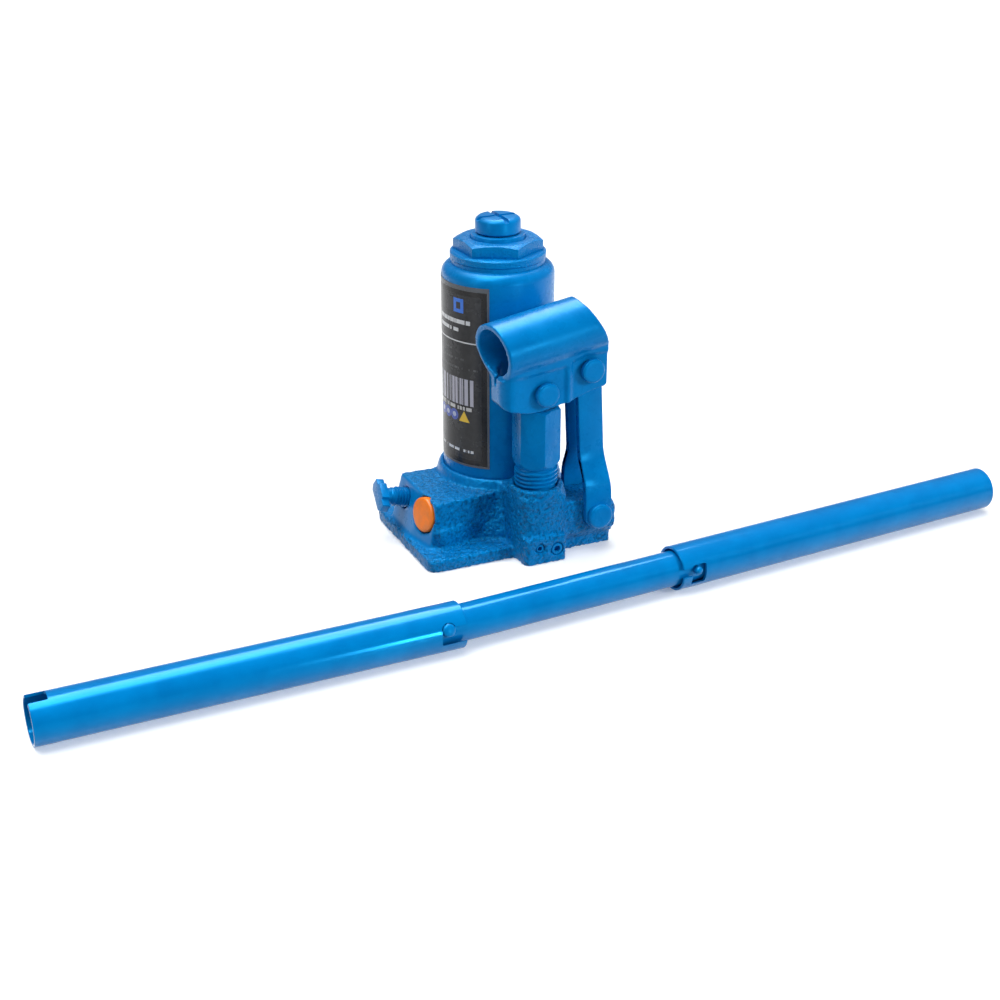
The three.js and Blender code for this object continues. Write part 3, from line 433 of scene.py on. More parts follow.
# ---------------------------------------------------------------- materials
class Recipe:
    """A material being put together from nodes."""

    def __init__(self, name):
        self.material = bpy.data.materials.new(name)
        self.material.use_nodes = True
        self.nodes = self.material.node_tree.nodes
        self.links = self.material.node_tree.links
        self.shader = self.nodes["Principled BSDF"]
        self.place = self.nodes.new("ShaderNodeTexCoord").outputs["Object"]

    def node(self, kind, inputs=None, **settings):
        made = self.nodes.new(kind)
        for key, value in settings.items():
            setattr(made, key, value)
        for key, value in (inputs or {}).items():
            if isinstance(value, bpy.types.NodeSocket):
                self.links.new(value, made.inputs[key])
            else:
                made.inputs[key].default_value = value
        return made

    def noise(self, size, detail=3.0, roughness=0.5, stretch=None):
        """Noise with features of about the given size in metres."""
        place = self.place
        if stretch:
            place = self.node("ShaderNodeMapping", {"Vector": place, "Scale": stretch}).outputs["Vector"]
        made = self.node(
            "ShaderNodeTexNoise",
            {"Vector": place, "Scale": 1 / size, "Detail": detail, "Roughness": roughness},
        )
        return made.outputs["Fac"]

    def cells(self, size):
        made = self.node(
            "ShaderNodeTexVoronoi", {"Vector": self.place, "Scale": 1 / size}, feature="SMOOTH_F1"
        )
        return made.outputs["Distance"]

    def range(self, value, low, high, to_low=0.0, to_high=1.0):
        made = self.node("ShaderNodeMapRange", {
            "Value": value, "From Min": low, "From Max": high, "To Min": to_low, "To Max": to_high,
        })
        return made.outputs["Result"]

    def math(self, operation, first, second=0.0):
        return self.node("ShaderNodeMath", {0: first, 1: second}, operation=operation).outputs[0]

    def blend(self, amount, first, second):
        made = self.node("ShaderNodeMix", {"Factor": amount}, data_type="RGBA")
        for socket, value in ((made.inputs[6], first), (made.inputs[7], second)):
            if isinstance(value, bpy.types.NodeSocket):
                self.links.new(value, socket)
            else:
                socket.default_value = (*value[:3], 1.0)
        return made.outputs[2]

    def bump(self, height, strength, distance, normal=None):
        inputs = {"Height": height, "Strength": strength, "Distance": distance}
        if normal is not None:
            inputs["Normal"] = normal
        return self.node("ShaderNodeBump", inputs).outputs["Normal"]

    def use(self, **sockets):
        for key, value in sockets.items():
            socket = self.shader.inputs[key.replace("_", " ")]
            if isinstance(value, bpy.types.NodeSocket):
                self.links.new(value, socket)
            elif isinstance(value, (tuple, list)) and len(value) == 3:
                socket.default_value = (*value, 1.0)
            else:
                socket.default_value = value
        return self.material


def enamel(name, gloss=0.3, peel=0.35, grain=0.0, shine=0.5):
    """Sprayed blue enamel: orange peel, a little dust in it, and deeper colour where it lies thick."""
    recipe = Recipe(name)
    patches = recipe.noise(14 * MM, 4.0, 0.55)
    specks = recipe.noise(0.7 * MM, 2.0, 0.6)
    tint = recipe.range(patches, 0.3, 0.75)
    paint = recipe.blend(tint, tuple(colours().deep_blue), tuple(colours().blue))
    lighter = tuple(min(1.0, channel * 1.2) for channel in colours().blue)
    dusted = recipe.blend(recipe.range(specks, 0.66, 0.82, 0.0, 0.35), paint, lighter)
    peel_height = recipe.noise(1.8 * MM, 2.0, 0.4)
    normal = recipe.bump(peel_height, peel, 0.05 * MM)
    if grain:
        sand = recipe.math("ADD", recipe.noise(0.55 * MM, 3.0, 0.65), recipe.cells(0.9 * MM))
        normal = recipe.bump(sand, grain, 0.22 * MM, normal)
    rough = recipe.range(recipe.noise(5 * MM, 3.0), 0.25, 0.8, gloss * 0.8, gloss * 1.35)
    return recipe.use(
        Base_Color=dusted, Roughness=rough, Normal=normal, Specular_Tint=SHEEN_BLUE, Specular_IOR_Level=shine,
    )


def bare_steel(name, rings=True):
    """Turned and oiled steel, with fine tool rings and smears of oil."""
    recipe = Recipe(name)
    smear = recipe.noise(6 * MM, 4.0, 0.6)
    dark = tuple(channel * 0.72 for channel in colours().steel)
    metal = recipe.blend(recipe.range(smear, 0.35, 0.7), dark, tuple(colours().steel))
    lines = recipe.noise(0.5 * MM, 2.0, 0.5, (0.05, 0.05, 1.0) if rings else None)
    normal = recipe.bump(lines, 0.35, 0.03 * MM)
    rough = recipe.range(smear, 0.3, 0.75, 0.2, 0.38)
    return recipe.use(Base_Color=metal, Metallic=1.0, Roughness=rough, Normal=normal)


def soft_copper(name):
    recipe = Recipe(name)
    stain = recipe.noise(2.5 * MM, 4.0, 0.6)
    metal = recipe.blend(recipe.range(stain, 0.35, 0.7), (0.42, 0.19, 0.1), (0.78, 0.42, 0.26))
    normal = recipe.bump(recipe.noise(0.4 * MM), 0.25, 0.02 * MM)
    return recipe.use(
        Base_Color=metal, Metallic=1.0, Roughness=recipe.range(stain, 0.3, 0.7, 0.28, 0.5), Normal=normal
    )


def moulded_rubber(name, colour, sheen_noise=0.4, rough=0.55):
    """Moulded rubber with a faint flow pattern and a matt, finely pitted skin."""
    recipe = Recipe(name)
    flow = recipe.noise(4 * MM, 3.0, 0.6)
    darker = tuple(channel * 0.8 for channel in colour)
    body = recipe.blend(recipe.range(flow, 0.35, 0.7), darker, colour)
    pits = recipe.noise(0.35 * MM, 3.0, 0.6)
    normal = recipe.bump(pits, sheen_noise, 0.04 * MM)
    return recipe.use(
        Base_Color=body, Roughness=recipe.range(flow, 0.3, 0.75, rough - 0.1, rough + 0.12), Normal=normal,
        Specular_IOR_Level=0.35,
    )


def two_zone_steel(name, level, reach=0.6 * MM):
    """Bare steel below a level and blue enamel above it, as on a shaft that was sprayed when assembled."""
    recipe = Recipe(name)
    height = recipe.node("ShaderNodeSeparateXYZ", {"Vector": recipe.place}).outputs["Z"]
    ragged = recipe.math("MULTIPLY", recipe.noise(1.5 * MM, 3.0), 0.8 * MM)
    painted = recipe.range(recipe.math("ADD", height, ragged), level, level + reach)
    patches = recipe.noise(12 * MM, 4.0)
    paint = recipe.blend(recipe.range(patches, 0.3, 0.75), tuple(colours().deep_blue), tuple(colours().blue))
    steel = recipe.blend(
        recipe.range(recipe.noise(5 * MM), 0.35, 0.7), (0.36, 0.37, 0.39), tuple(colours().steel)
    )
    metallic = recipe.math("SUBTRACT", 1.0, painted)
    rough = recipe.range(recipe.noise(3 * MM, 3.0), 0.3, 0.75, 0.26, 0.42)
    normal = recipe.bump(recipe.noise(0.9 * MM, 3.0), 0.3, 0.05 * MM)
    return recipe.use(
        Base_Color=recipe.blend(painted, steel, paint), Metallic=metallic, Roughness=rough, Normal=normal,
        Specular_Tint=SHEEN_BLUE,
    )


def shared_material(name, maker, *args, **settings):
    """The material of that name, made the first time that it is asked for."""
    found = bpy.data.materials.get(name)
    return found or maker(name, *args, **settings)


def smooth_enamel():
    return shared_material("smooth_blue_enamel", enamel, gloss=0.27, peel=0.3)


def grainy_enamel():
    return shared_material("grainy_blue_enamel", enamel, gloss=0.3, peel=0.3, grain=1.0)


def dark_rubber():
    return shared_material("seal_rubber", moulded_rubber, (0.02, 0.02, 0.022))


# ---------------------------------------------------------------- label artwork
class LabelArt:
    """Marks on the label, placed by arc length from its right edge and by height, in metres."""

    def __init__(self, recipe, radius, right_edge):
        self.recipe = recipe
        parts = recipe.node("ShaderNodeSeparateXYZ", {"Vector": recipe.place})
        turn = recipe.math("ARCTAN2", parts.outputs["Y"], parts.outputs["X"])
        back = recipe.math("SUBTRACT", right_edge, turn)
        wrapped = recipe.math("FLOORED_MODULO", back, 2 * math.pi)
        self.across = recipe.math("MULTIPLY", wrapped, radius)
        self.height = parts.outputs["Z"]

    def band(self, value, low, high):
        above = self.recipe.math("GREATER_THAN", value, low)
        below = self.recipe.math("LESS_THAN", value, high)
        return self.recipe.math("MULTIPLY", above, below)

    def box(self, left, right, low, high):
        across = self.band(self.across, left, right)
        return self.recipe.math("MULTIPLY", across, self.band(self.height, low, high))

    def disc(self, across, height, radius):
        dx = self.recipe.math("SUBTRACT", self.across, across)
        dz = self.recipe.math("SUBTRACT", self.height, height)
        squared = self.recipe.math(
            "ADD", self.recipe.math("MULTIPLY", dx, dx), self.recipe.math("MULTIPLY", dz, dz)
        )
        return self.recipe.math("LESS_THAN", squared, radius * radius)

    def triangle(self, across, low, width, height):
        rise = self.recipe.math("SUBTRACT", self.height, low)
        dx = self.recipe.math("ABSOLUTE", self.recipe.math("SUBTRACT", self.across, across))
        reach = self.recipe.math("MULTIPLY", dx, 2 * height / width)
        edge = self.recipe.math("LESS_THAN", self.recipe.math("ADD", rise, reach), height)
        return self.recipe.math("MULTIPLY", edge, self.recipe.math("GREATER_THAN", rise, 0.0))

    def stripes(self, seed, left, right, low, high, size, share):
        """Uneven upright bars in a box."""
        place = self.recipe.node("ShaderNodeCombineXYZ", {"X": self.across, "Y": seed}).outputs["Vector"]
        bars = self.recipe.node("ShaderNodeTexNoise", {"Vector": place, "Scale": 1 / size, "Detail": 0.0})
        lit = self.recipe.math("GREATER_THAN", bars.outputs["Fac"], 1 - share)
        return self.recipe.math("MULTIPLY", lit, self.box(left, right, low, high))


def label_film(name, radius, right_edge, low, high, width):
    recipe = Recipe(name)
    art = LabelArt(recipe, radius, right_edge)
    rub = recipe.noise(9 * MM, 4.0, 0.6)
    ground = recipe.blend(recipe.range(rub, 0.35, 0.75), tuple(colours().label), (0.03, 0.032, 0.036))
    grey = (0.09, 0.095, 0.1)
    white = (0.62, 0.64, 0.66)
    field = art.box(3.6 * MM, width - 3.6 * MM, low + 3.4 * MM, high - 4.2 * MM)
    picture = recipe.blend(field, (0.004, 0.004, 0.005), ground)
    inside_rim = art.box(1.0 * MM, width - 1.0 * MM, low + 1.0 * MM, high - 2.0 * MM)
    picture = recipe.blend(inside_rim, (0.1, 0.112, 0.125), picture)
    blue_mark = art.box(12.5 * MM, 18.5 * MM, high - 12.5 * MM, high - 6.0 * MM)
    hole = art.box(14.2 * MM, 16.8 * MM, high - 10.8 * MM, high - 7.7 * MM)
    picture = recipe.blend(recipe.math("SUBTRACT", blue_mark, hole), picture, (0.05, 0.2, 0.75))
    rows = [
        (high - 17.6 * MM, 1.9 * MM, 9.0 * MM, 31.0 * MM, 1.1 * MM, 0.62, white),
        (high - 21.4 * MM, 1.7 * MM, 15.5 * MM, 31.0 * MM, 1.1 * MM, 0.62, white),
        (high - 30.4 * MM, 0.9 * MM, 20.0 * MM, 34.0 * MM, 0.7 * MM, 0.5, grey),
        (high - 34.6 * MM, 0.9 * MM, 12.5 * MM, 34.0 * MM, 0.7 * MM, 0.5, grey),
        (high - 38.8 * MM, 0.9 * MM, 5.5 * MM, 34.0 * MM, 0.7 * MM, 0.5, grey),
        (low + 6.6 * MM, 1.3 * MM, 7.0 * MM, 30.0 * MM, 0.8 * MM, 0.5, white),
    ]
    for row, (foot, tall, left, right, size, share, ink) in enumerate(rows):
        words = art.stripes(row * 0.37, left, right, foot, foot + tall, size, share)
        picture = recipe.blend(words, picture, ink)
    rule = art.box(5.0 * MM, width - 5.0 * MM, high - 26.2 * MM, high - 25.6 * MM)
    picture = recipe.blend(rule, picture, white)
    code_foot = low + 29.5 * MM
    code = art.stripes(3.1, 7.4 * MM, 34.0 * MM, code_foot, code_foot + 12.5 * MM, 0.9 * MM, 0.53)
    picture = recipe.blend(code, picture, (0.42, 0.42, 0.5))
    ticks = art.stripes(5.7, 8.5 * MM, 33.0 * MM, code_foot - 2.6 * MM, code_foot - 0.9 * MM, 1.3 * MM, 0.5)
    picture = recipe.blend(ticks, picture, (0.5, 0.5, 0.5))
    for spot in (18.8 * MM, 23.9 * MM, 29.0 * MM):
        disc = art.disc(spot, low + 23.8 * MM, 2.7 * MM)
        picture = recipe.blend(disc, picture, (0.06, 0.1, 0.4))
        pip = art.disc(spot, low + 23.8 * MM, 1.2 * MM)
        picture = recipe.blend(pip, picture, (0.4, 0.45, 0.6))
    sign = art.triangle(12.6 * MM, low + 21.4 * MM, 6.0 * MM, 5.2 * MM)
    picture = recipe.blend(sign, picture, (0.75, 0.5, 0.05))
    normal = recipe.bump(recipe.noise(3 * MM, 2.0), 0.12, 0.04 * MM)
    return recipe.use(
        Base_Color=picture, Roughness=recipe.range(rub, 0.3, 0.8, 0.2, 0.34),
        Normal=normal, Specular_IOR_Level=0.25,
    )


# ---------------------------------------------------------------- base casting
def casting_enamel(name):
    """Blue enamel over a sand casting: coarse pitting that the mask attribute holds off the dressed faces,
    with painted shade darkening the low spots of the pitting.
    """
    recipe = Recipe(name)
    mask = recipe.node("ShaderNodeAttribute", attribute_name="cast_skin").outputs["Fac"]
    patches = recipe.noise(11 * MM, 5.0, 0.6)
    paint = recipe.blend(recipe.range(patches, 0.3, 0.72), tuple(colours().deep_blue), tuple(colours().blue))
    lumps = recipe.noise(1.3 * MM, 3.0, 0.6)
    # Painted shade: where the cast skin is, the low spots of the sand lumps are darkened towards half the
    # deep blue.
    deep = tuple(channel * 0.5 for channel in colours().deep_blue)
    pit_shaded_colour = recipe.blend(recipe.math("MULTIPLY", recipe.range(lumps, 0.52, 0.36), mask), paint, deep)
    sand = recipe.math("ADD", lumps, recipe.math("MULTIPLY", recipe.cells(1.7 * MM), 0.6))
    normal = recipe.bump(sand, mask, 0.9 * MM, recipe.bump(recipe.noise(2 * MM, 2.0), 0.3, 0.06 * MM))
    rough = recipe.range(recipe.noise(3 * MM, 3.0), 0.3, 0.75, 0.26, 0.36)
    return recipe.use(Base_Color=pit_shaded_colour, Roughness=rough, Normal=normal, Specular_Tint=SHEEN_BLUE)


def mark_cast_skin(obj, faces):
    """Stores how rough each point is: 0 on the dressed faces, (point, normal), and 1 on the cast skin; the
    same value sets how much painted shade the casting's pits get.
    """
    collar = top("base_casting") - 7 * MM
    values = []
    for vertex in obj.data.vertices:
        value = 1.0
        for point, normal in faces:
            offset = vertex.co - point
            if abs(offset.dot(normal)) < 0.7 * MM and offset.length < 19 * MM:
                value = 0.0
        if vertex.co.z > collar and math.hypot(vertex.co.x, vertex.co.y) < 31 * MM:
            value = min(value, 0.25)
        values.append(value)
    group = obj.vertex_groups.new(name="sand_depth")
    for index, value in enumerate(values):
        group.add([index], value, "REPLACE")
    skin = obj.data.attributes.new("cast_skin", "FLOAT", "POINT")
    skin.data.foreach_set("value", values)


class JACK_OT_base(bpy.types.Operator):
    """Build the cast foot with its rough skin and soft inner corners"""

    bl_idname = "jack.base"
    bl_label = "Base Casting"

    def execute(self, context):
        obj = copy_of_node("cast_base", "base_casting")
        melt(obj, sizes().casting_cell, 7)
        faces = [
            (Vector(JOINTS["release_valve_turn"]["pos_m"]), Vector(JOINTS["release_valve_turn"]["axis"])),
            (middle("oil_filler_plug") + Vector(JOINTS["filler_plug_pull"]["axis"]) * 5 * MM,
             Vector(JOINTS["filler_plug_pull"]["axis"])),
        ]
        mark_cast_skin(obj, faces)
        sand = bpy.data.textures.new("casting_sand", "CLOUDS")
        sand.noise_scale = 1.6 * MM
        sand.noise_depth = 2
        run_modifier(obj, "DISPLACE", texture=sand, texture_coords="LOCAL", mid_level=0.6,
                     strength=sizes().casting_grain * 2.2, vertex_group="sand_depth")
        pick(obj)
        bpy.ops.object.shade_smooth()
        finish_piece(
            obj, "base", shared_material("casting_enamel", casting_enamel), "cast_blue_paint", "base_casting"
        )
        return {"FINISHED"}


# ---------------------------------------------------------------- tank, nut, ram and screw
def arc_steps(centre_r, centre_z, radius, start, end, steps):
    """Points of an arc in a turned profile; the angles are in degrees from straight out."""
    made = []
    for i in range(steps + 1):
        angle = math.radians(start + (end - start) * i / steps)
        made.append((centre_r + radius * math.cos(angle), centre_z + radius * math.sin(angle)))
    return made


class JACK_OT_tank(bpy.types.Operator):
    """Build the reservoir tube with its drawn-in shoulder"""

    bl_idname = "jack.tank"
    bl_label = "Reservoir Tube"

    def execute(self, context):
        outer = half_width("reservoir_tube")
        low, high = bottom("reservoir_tube"), top("reservoir_tube")
        wall = 2.0 * MM
        bend = 5.0 * MM
        lip = half_width("tank_gasket_upper") - 2.0 * MM
        profile = [(outer - wall, low), (outer, low)]
        profile += arc_steps(outer - bend, high - bend, bend, 0, 90, 10)
        profile += [(lip, high), (lip, high - wall)]
        profile += arc_steps(outer - bend, high - bend, bend - wall, 90, 0, 8)
        profile += [(outer - wall, low)]
        obj = turned("reservoir_shell", profile)
        shade(obj, 50)
        finish_piece(obj, "base", smooth_enamel(), "blue_paint", "reservoir_tube")
        return {"FINISHED"}


def hex_bar(name, flats, corner_angle, low, high):
    """A hexagonal bar about Z with a corner at the given angle."""
    clear_selection()
    bpy.ops.mesh.primitive_cylinder_add(
        vertices=6, radius=flats / math.sqrt(3), depth=high - low, location=(0, 0, (low + high) / 2),
        rotation=(0, 0, corner_angle + math.pi / 6),
    )
    return settle(named(name))


class JACK_OT_top_nut(bpy.types.Operator):
    """Build the hexagonal top nut with its round flange and chamfered corners"""

    bl_idname = "jack.top_nut"
    bl_label = "Top Nut"

    def execute(self, context):
        flange = half_width("top_nut")
        high = top("top_nut")
        flange_low, flange_high = high - 9.3 * MM, high - 5.6 * MM
        bore = half_width("ram") - 0.9 * MM + 0.25 * MM
        flats = NUT_FLATS
        corner = flats / math.sqrt(3)
        hexagon = hex_bar("gland_nut", flats, NUT_TURN, flange_high - 0.4 * MM, high)
        chamfer = turned("nut_chamfer", [
            (corner + 2 * MM, flange_high - 2 * MM), (corner + 2 * MM, high - 2.2 * MM),
            (flats / 2 - 0.6 * MM, high + 0.02 * MM), (1 * MM, high + 0.02 * MM),
            (1 * MM, flange_high - 2 * MM), (corner + 2 * MM, flange_high - 2 * MM),
        ])
        combine(hexagon, chamfer, "INTERSECT")
        round_edges(hexagon, 0.3 * MM, 20, 2)
        thread = half_width("inner_cylinder") + 0.02 * MM
        thread_top = top("inner_cylinder") + 0.3 * MM
        seal = bore + 1.95 * MM
        seat = turned("nut_flange", [
            (thread, bottom("top_nut")), (flange - 2.8 * MM, bottom("top_nut")),
            (flange - 2.8 * MM, flange_low),
            (flange - 0.5 * MM, flange_low), (flange, flange_low + 0.5 * MM),
            (flange, flange_high - 0.7 * MM),
            (flange - 0.7 * MM, flange_high), (bore, flange_high), (bore, flange_high - 0.5 * MM),
            (seal, flange_high - 0.5 * MM), (seal, flange_high - 3.5 * MM), (bore, flange_high - 3.5 * MM),
            (bore, thread_top), (thread, thread_top), (thread, bottom("top_nut")),
        ])
        combine(hexagon, rod("nut_bore", bore, flange_high - 3 * MM, high + 2 * MM))
        rim = turned("bore_chamfer", [(bore - 1 * MM, high - 1.6 * MM), (bore + 0.9 * MM, high + 0.3 * MM),
                                      (bore - 1 * MM, high + 0.3 * MM), (bore - 1 * MM, high - 1.6 * MM)])
        combine(hexagon, rim)
        weld(hexagon, seat)
        shade(hexagon, 32)
        finish_piece(hexagon, "base", grainy_enamel(), "blue_paint", "top_nut")
        return {"FINISHED"}


class JACK_OT_ram(bpy.types.Operator):
    """Build the ram with its eased rim and piston head"""

    bl_idname = "jack.ram"
    bl_label = "Ram"

    def execute(self, context):
        high, low = top("ram"), bottom("ram")
        piston = half_width("ram")
        radius = piston - 0.9 * MM
        bore = 8.3 * MM
        chamber = 9.2 * MM
        throat = top("screw_stop_ring") + 50.3 * MM
        floor = bottom("screw_stop_ring") - 6 * MM
        obj = turned("lifting_ram", [
            (6 * MM, low), (6 * MM, low + 7.4 * MM), (piston, low + 7.4 * MM), (piston, low + 15.4 * MM),
            (radius, low + 15.4 * MM), (radius, high - 1.0 * MM), (radius - 0.3 * MM, high - 0.3 * MM),
            (radius - 1.0 * MM, high), (bore + 0.8 * MM, high), (bore, high - 0.8 * MM), (bore, throat),
            (chamber, throat), (chamber, floor), (0.4 * MM, floor),
        ])
        shade(obj, 35)
        material = shared_material("ram_steel", two_zone_steel, high - 4.5 * MM)
        finish_piece(obj, "ram_piston", material, "oiled_steel", "ram")
        return {"FINISHED"}


class JACK_OT_screw(bpy.types.Operator):
    """Build the extension screw with its wound thread and cross-slotted saddle"""

    bl_idname = "jack.screw"
    bl_label = "Extension Screw"

    def execute(self, context):
        low, high = bottom("extension_screw"), top("extension_screw")
        head = half_width("extension_screw")
        head_low = high - 7.4 * MM
        crest = 8.0 * MM
        root = crest - 1.1 * MM
        neck_top = top("screw_stop_ring") + 0.4 * MM
        obj = turned("saddle_screw", [
            (6.2 * MM, low), (6.5 * MM, low + 0.4 * MM), (6.5 * MM, neck_top), (root, neck_top + 1 * MM),
            (root, head_low - 3 * MM), (crest - 0.6 * MM, head_low - 1.2 * MM), (crest - 0.6 * MM, head_low),
            (head - 0.7 * MM, head_low), (head, head_low + 0.7 * MM), (head, high - 1.9 * MM),
            (head - 0.35 * MM, high - 1.1 * MM), (head - 1.5 * MM, high - 0.15 * MM), (head - 2.1 * MM, high),
        ])
        half = 1.2 * MM
        deep = high - 1.6 * MM
        for turn in (0, math.pi / 2):
            groove = slab("saddle_groove", (-head - MM, -half, deep), (head + MM, half, high + MM))
            bevel_edges(groove, lambda a, b: a.z < deep + 0.1 * MM and b.z < deep + 0.1 * MM, 0.5 * MM, 3)
            groove.rotation_euler.z = turn
            combine(obj, settle(groove))
        thread = coil_thread(
            "screw_thread", root, crest, sizes().screw_pitch, neck_top + 1 * MM, head_low - 2 * MM
        )
        weld(obj, thread)
        shade(obj, 30)
        material = shared_material("saddle_enamel", two_zone_steel, head_low - 0.6 * MM)
        finish_piece(obj, "screw", material, "oiled_steel", "extension_screw")
        return {"FINISHED"}


# ---------------------------------------------------------------- pump
class JACK_OT_pump(bpy.types.Operator):
    """Build the hexagonal pump barrel with its short thread"""

    bl_idname = "jack.pump"
    bl_label = "Pump Barrel"

    def execute(self, context):
        centre = middle("pump_barrel")
        low, high = bottom("pump_barrel"), top("pump_barrel")
        hex_low = 45 * MM
        flats = PUMP_FLATS
        corner = flats / math.sqrt(3)
        neck = 8.7 * MM
        bore = half_width("pump_barrel_washer") - 4.3 * MM
        hexagon = hex_bar("pump_body", flats, PUMP_TURN, hex_low - 1.6 * MM, high)
        limit = turned("pump_chamfer", [
            (1 * MM, hex_low - 3 * MM), (neck - 0.4 * MM, hex_low - 2.0 * MM),
            (neck + 0.3 * MM, hex_low - 1.6 * MM),
            (corner + 0.5 * MM, hex_low + 2.4 * MM), (corner + 0.5 * MM, high - 1.4 * MM),
            (flats / 2 - 0.7 * MM, high + 0.02 * MM), (1 * MM, high + 0.02 * MM), (1 * MM, hex_low - 3 * MM),
        ])
        combine(hexagon, limit, "INTERSECT")
        round_edges(hexagon, 0.45 * MM, 20, 3)
        stem = turned("pump_stem", [
            (bore, low), (9.4 * MM, low), (9.4 * MM, 33 * MM), (neck, 34 * MM), (neck, hex_low - 1 * MM),
            (bore, hex_low - 1 * MM), (bore, low),
        ])
        combine(hexagon, rod("pump_bore", bore, hex_low - 5 * MM, high + 5 * MM))
        weld(hexagon, stem)
        weld(
            hexagon, coil_thread("pump_thread", neck, 9.75 * MM, 2.0 * MM, 33.5 * MM, hex_low - 1.2 * MM, 64)
        )
        shade(hexagon, 30)
        move_to(hexagon, Matrix.Translation((centre.x, centre.y, 0)))
        finish_piece(hexagon, "base", smooth_enamel(), "blue_paint", "pump_barrel")
        return {"FINISHED"}


# ---------------------------------------------------------------- lever socket
def socket_frame():
    """The lever socket's tube axis: its tilt, and the height where it passes over the ram's axis."""
    low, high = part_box("handle_socket")
    return LEVER_TILT, (high.y - low.y) / 2, LEVER_LEVEL


def socket_tube(name, radius, start, end):
    tilt, _, level = socket_frame()
    obj = rod(name, radius, start, end)
    lay = Matrix.Translation((0, middle("handle_socket").y, level)) @ Matrix.Rotation(-tilt, 4, "Y")
    return move_to(obj, lay @ Matrix.Rotation(math.pi / 2, 4, "Y"))


def plate_from_side(name, corners, near, far):
    """A plate across Y, drawn by its corners in X and Z."""
    clear_selection()
    bpy.ops.mesh.primitive_circle_add(vertices=len(corners), radius=10 * MM, fill_type="NGON")
    obj = named(name)
    for vertex, (x, z) in zip(obj.data.vertices, corners):
        vertex.co = (x, near, z)
    bpy.ops.object.mode_set(mode="EDIT")
    bpy.ops.mesh.select_all(action="SELECT")
    bpy.ops.mesh.extrude_region_move(TRANSFORM_OT_translate={"value": (0, far - near, 0)})
    bpy.ops.mesh.select_all(action="SELECT")
    bpy.ops.mesh.normals_make_consistent(inside=False)
    bpy.ops.object.mode_set(mode="OBJECT")
    return obj


def cheek_block(name, half, front, back, low, high, nose):
    y = middle("handle_socket").y
    obj = slab(name, (front, y - half, low), (back, y + half, high))
    upright = lambda a, b: abs(a.x - front) < MM and abs(b.x - front) < MM and abs(a.y - b.y) < 0.1 * MM
    return bevel_edges(obj, upright, nose, 12)


def ease(value):
    """Smooth step from 0 to 1."""
    value = min(max(value, 0.0), 1.0)
    return value * value * (3 - 2 * value)


def press_cheeks(obj, y, depth):
    """Sets the cheeks in a little round each pin and leaves a raised fold between the two flats."""
    skin = sizes().cheek_half - sizes().sheet_wall / 2
    for vertex in obj.data.vertices:
        x, z = vertex.co.x, vertex.co.z
        side = vertex.co.y - y
        if abs(side) < skin or z > 100 * MM:
            continue
        front = ease((11.8 * MM - x) / (2.2 * MM)) * ease((91.2 * MM + 0.11 * x - z) / (2.4 * MM))
        rear = ease((x - 12.3 * MM) / (2.2 * MM)) * ease(
            (min(89.6 * MM + 0.34 * x, 96.4 * MM) - z) / (2.4 * MM)
        )
        soft = max(front, rear) * ease((x + 16.5 * MM) / (5 * MM))
        vertex.co.y -= math.copysign(depth * soft, side)


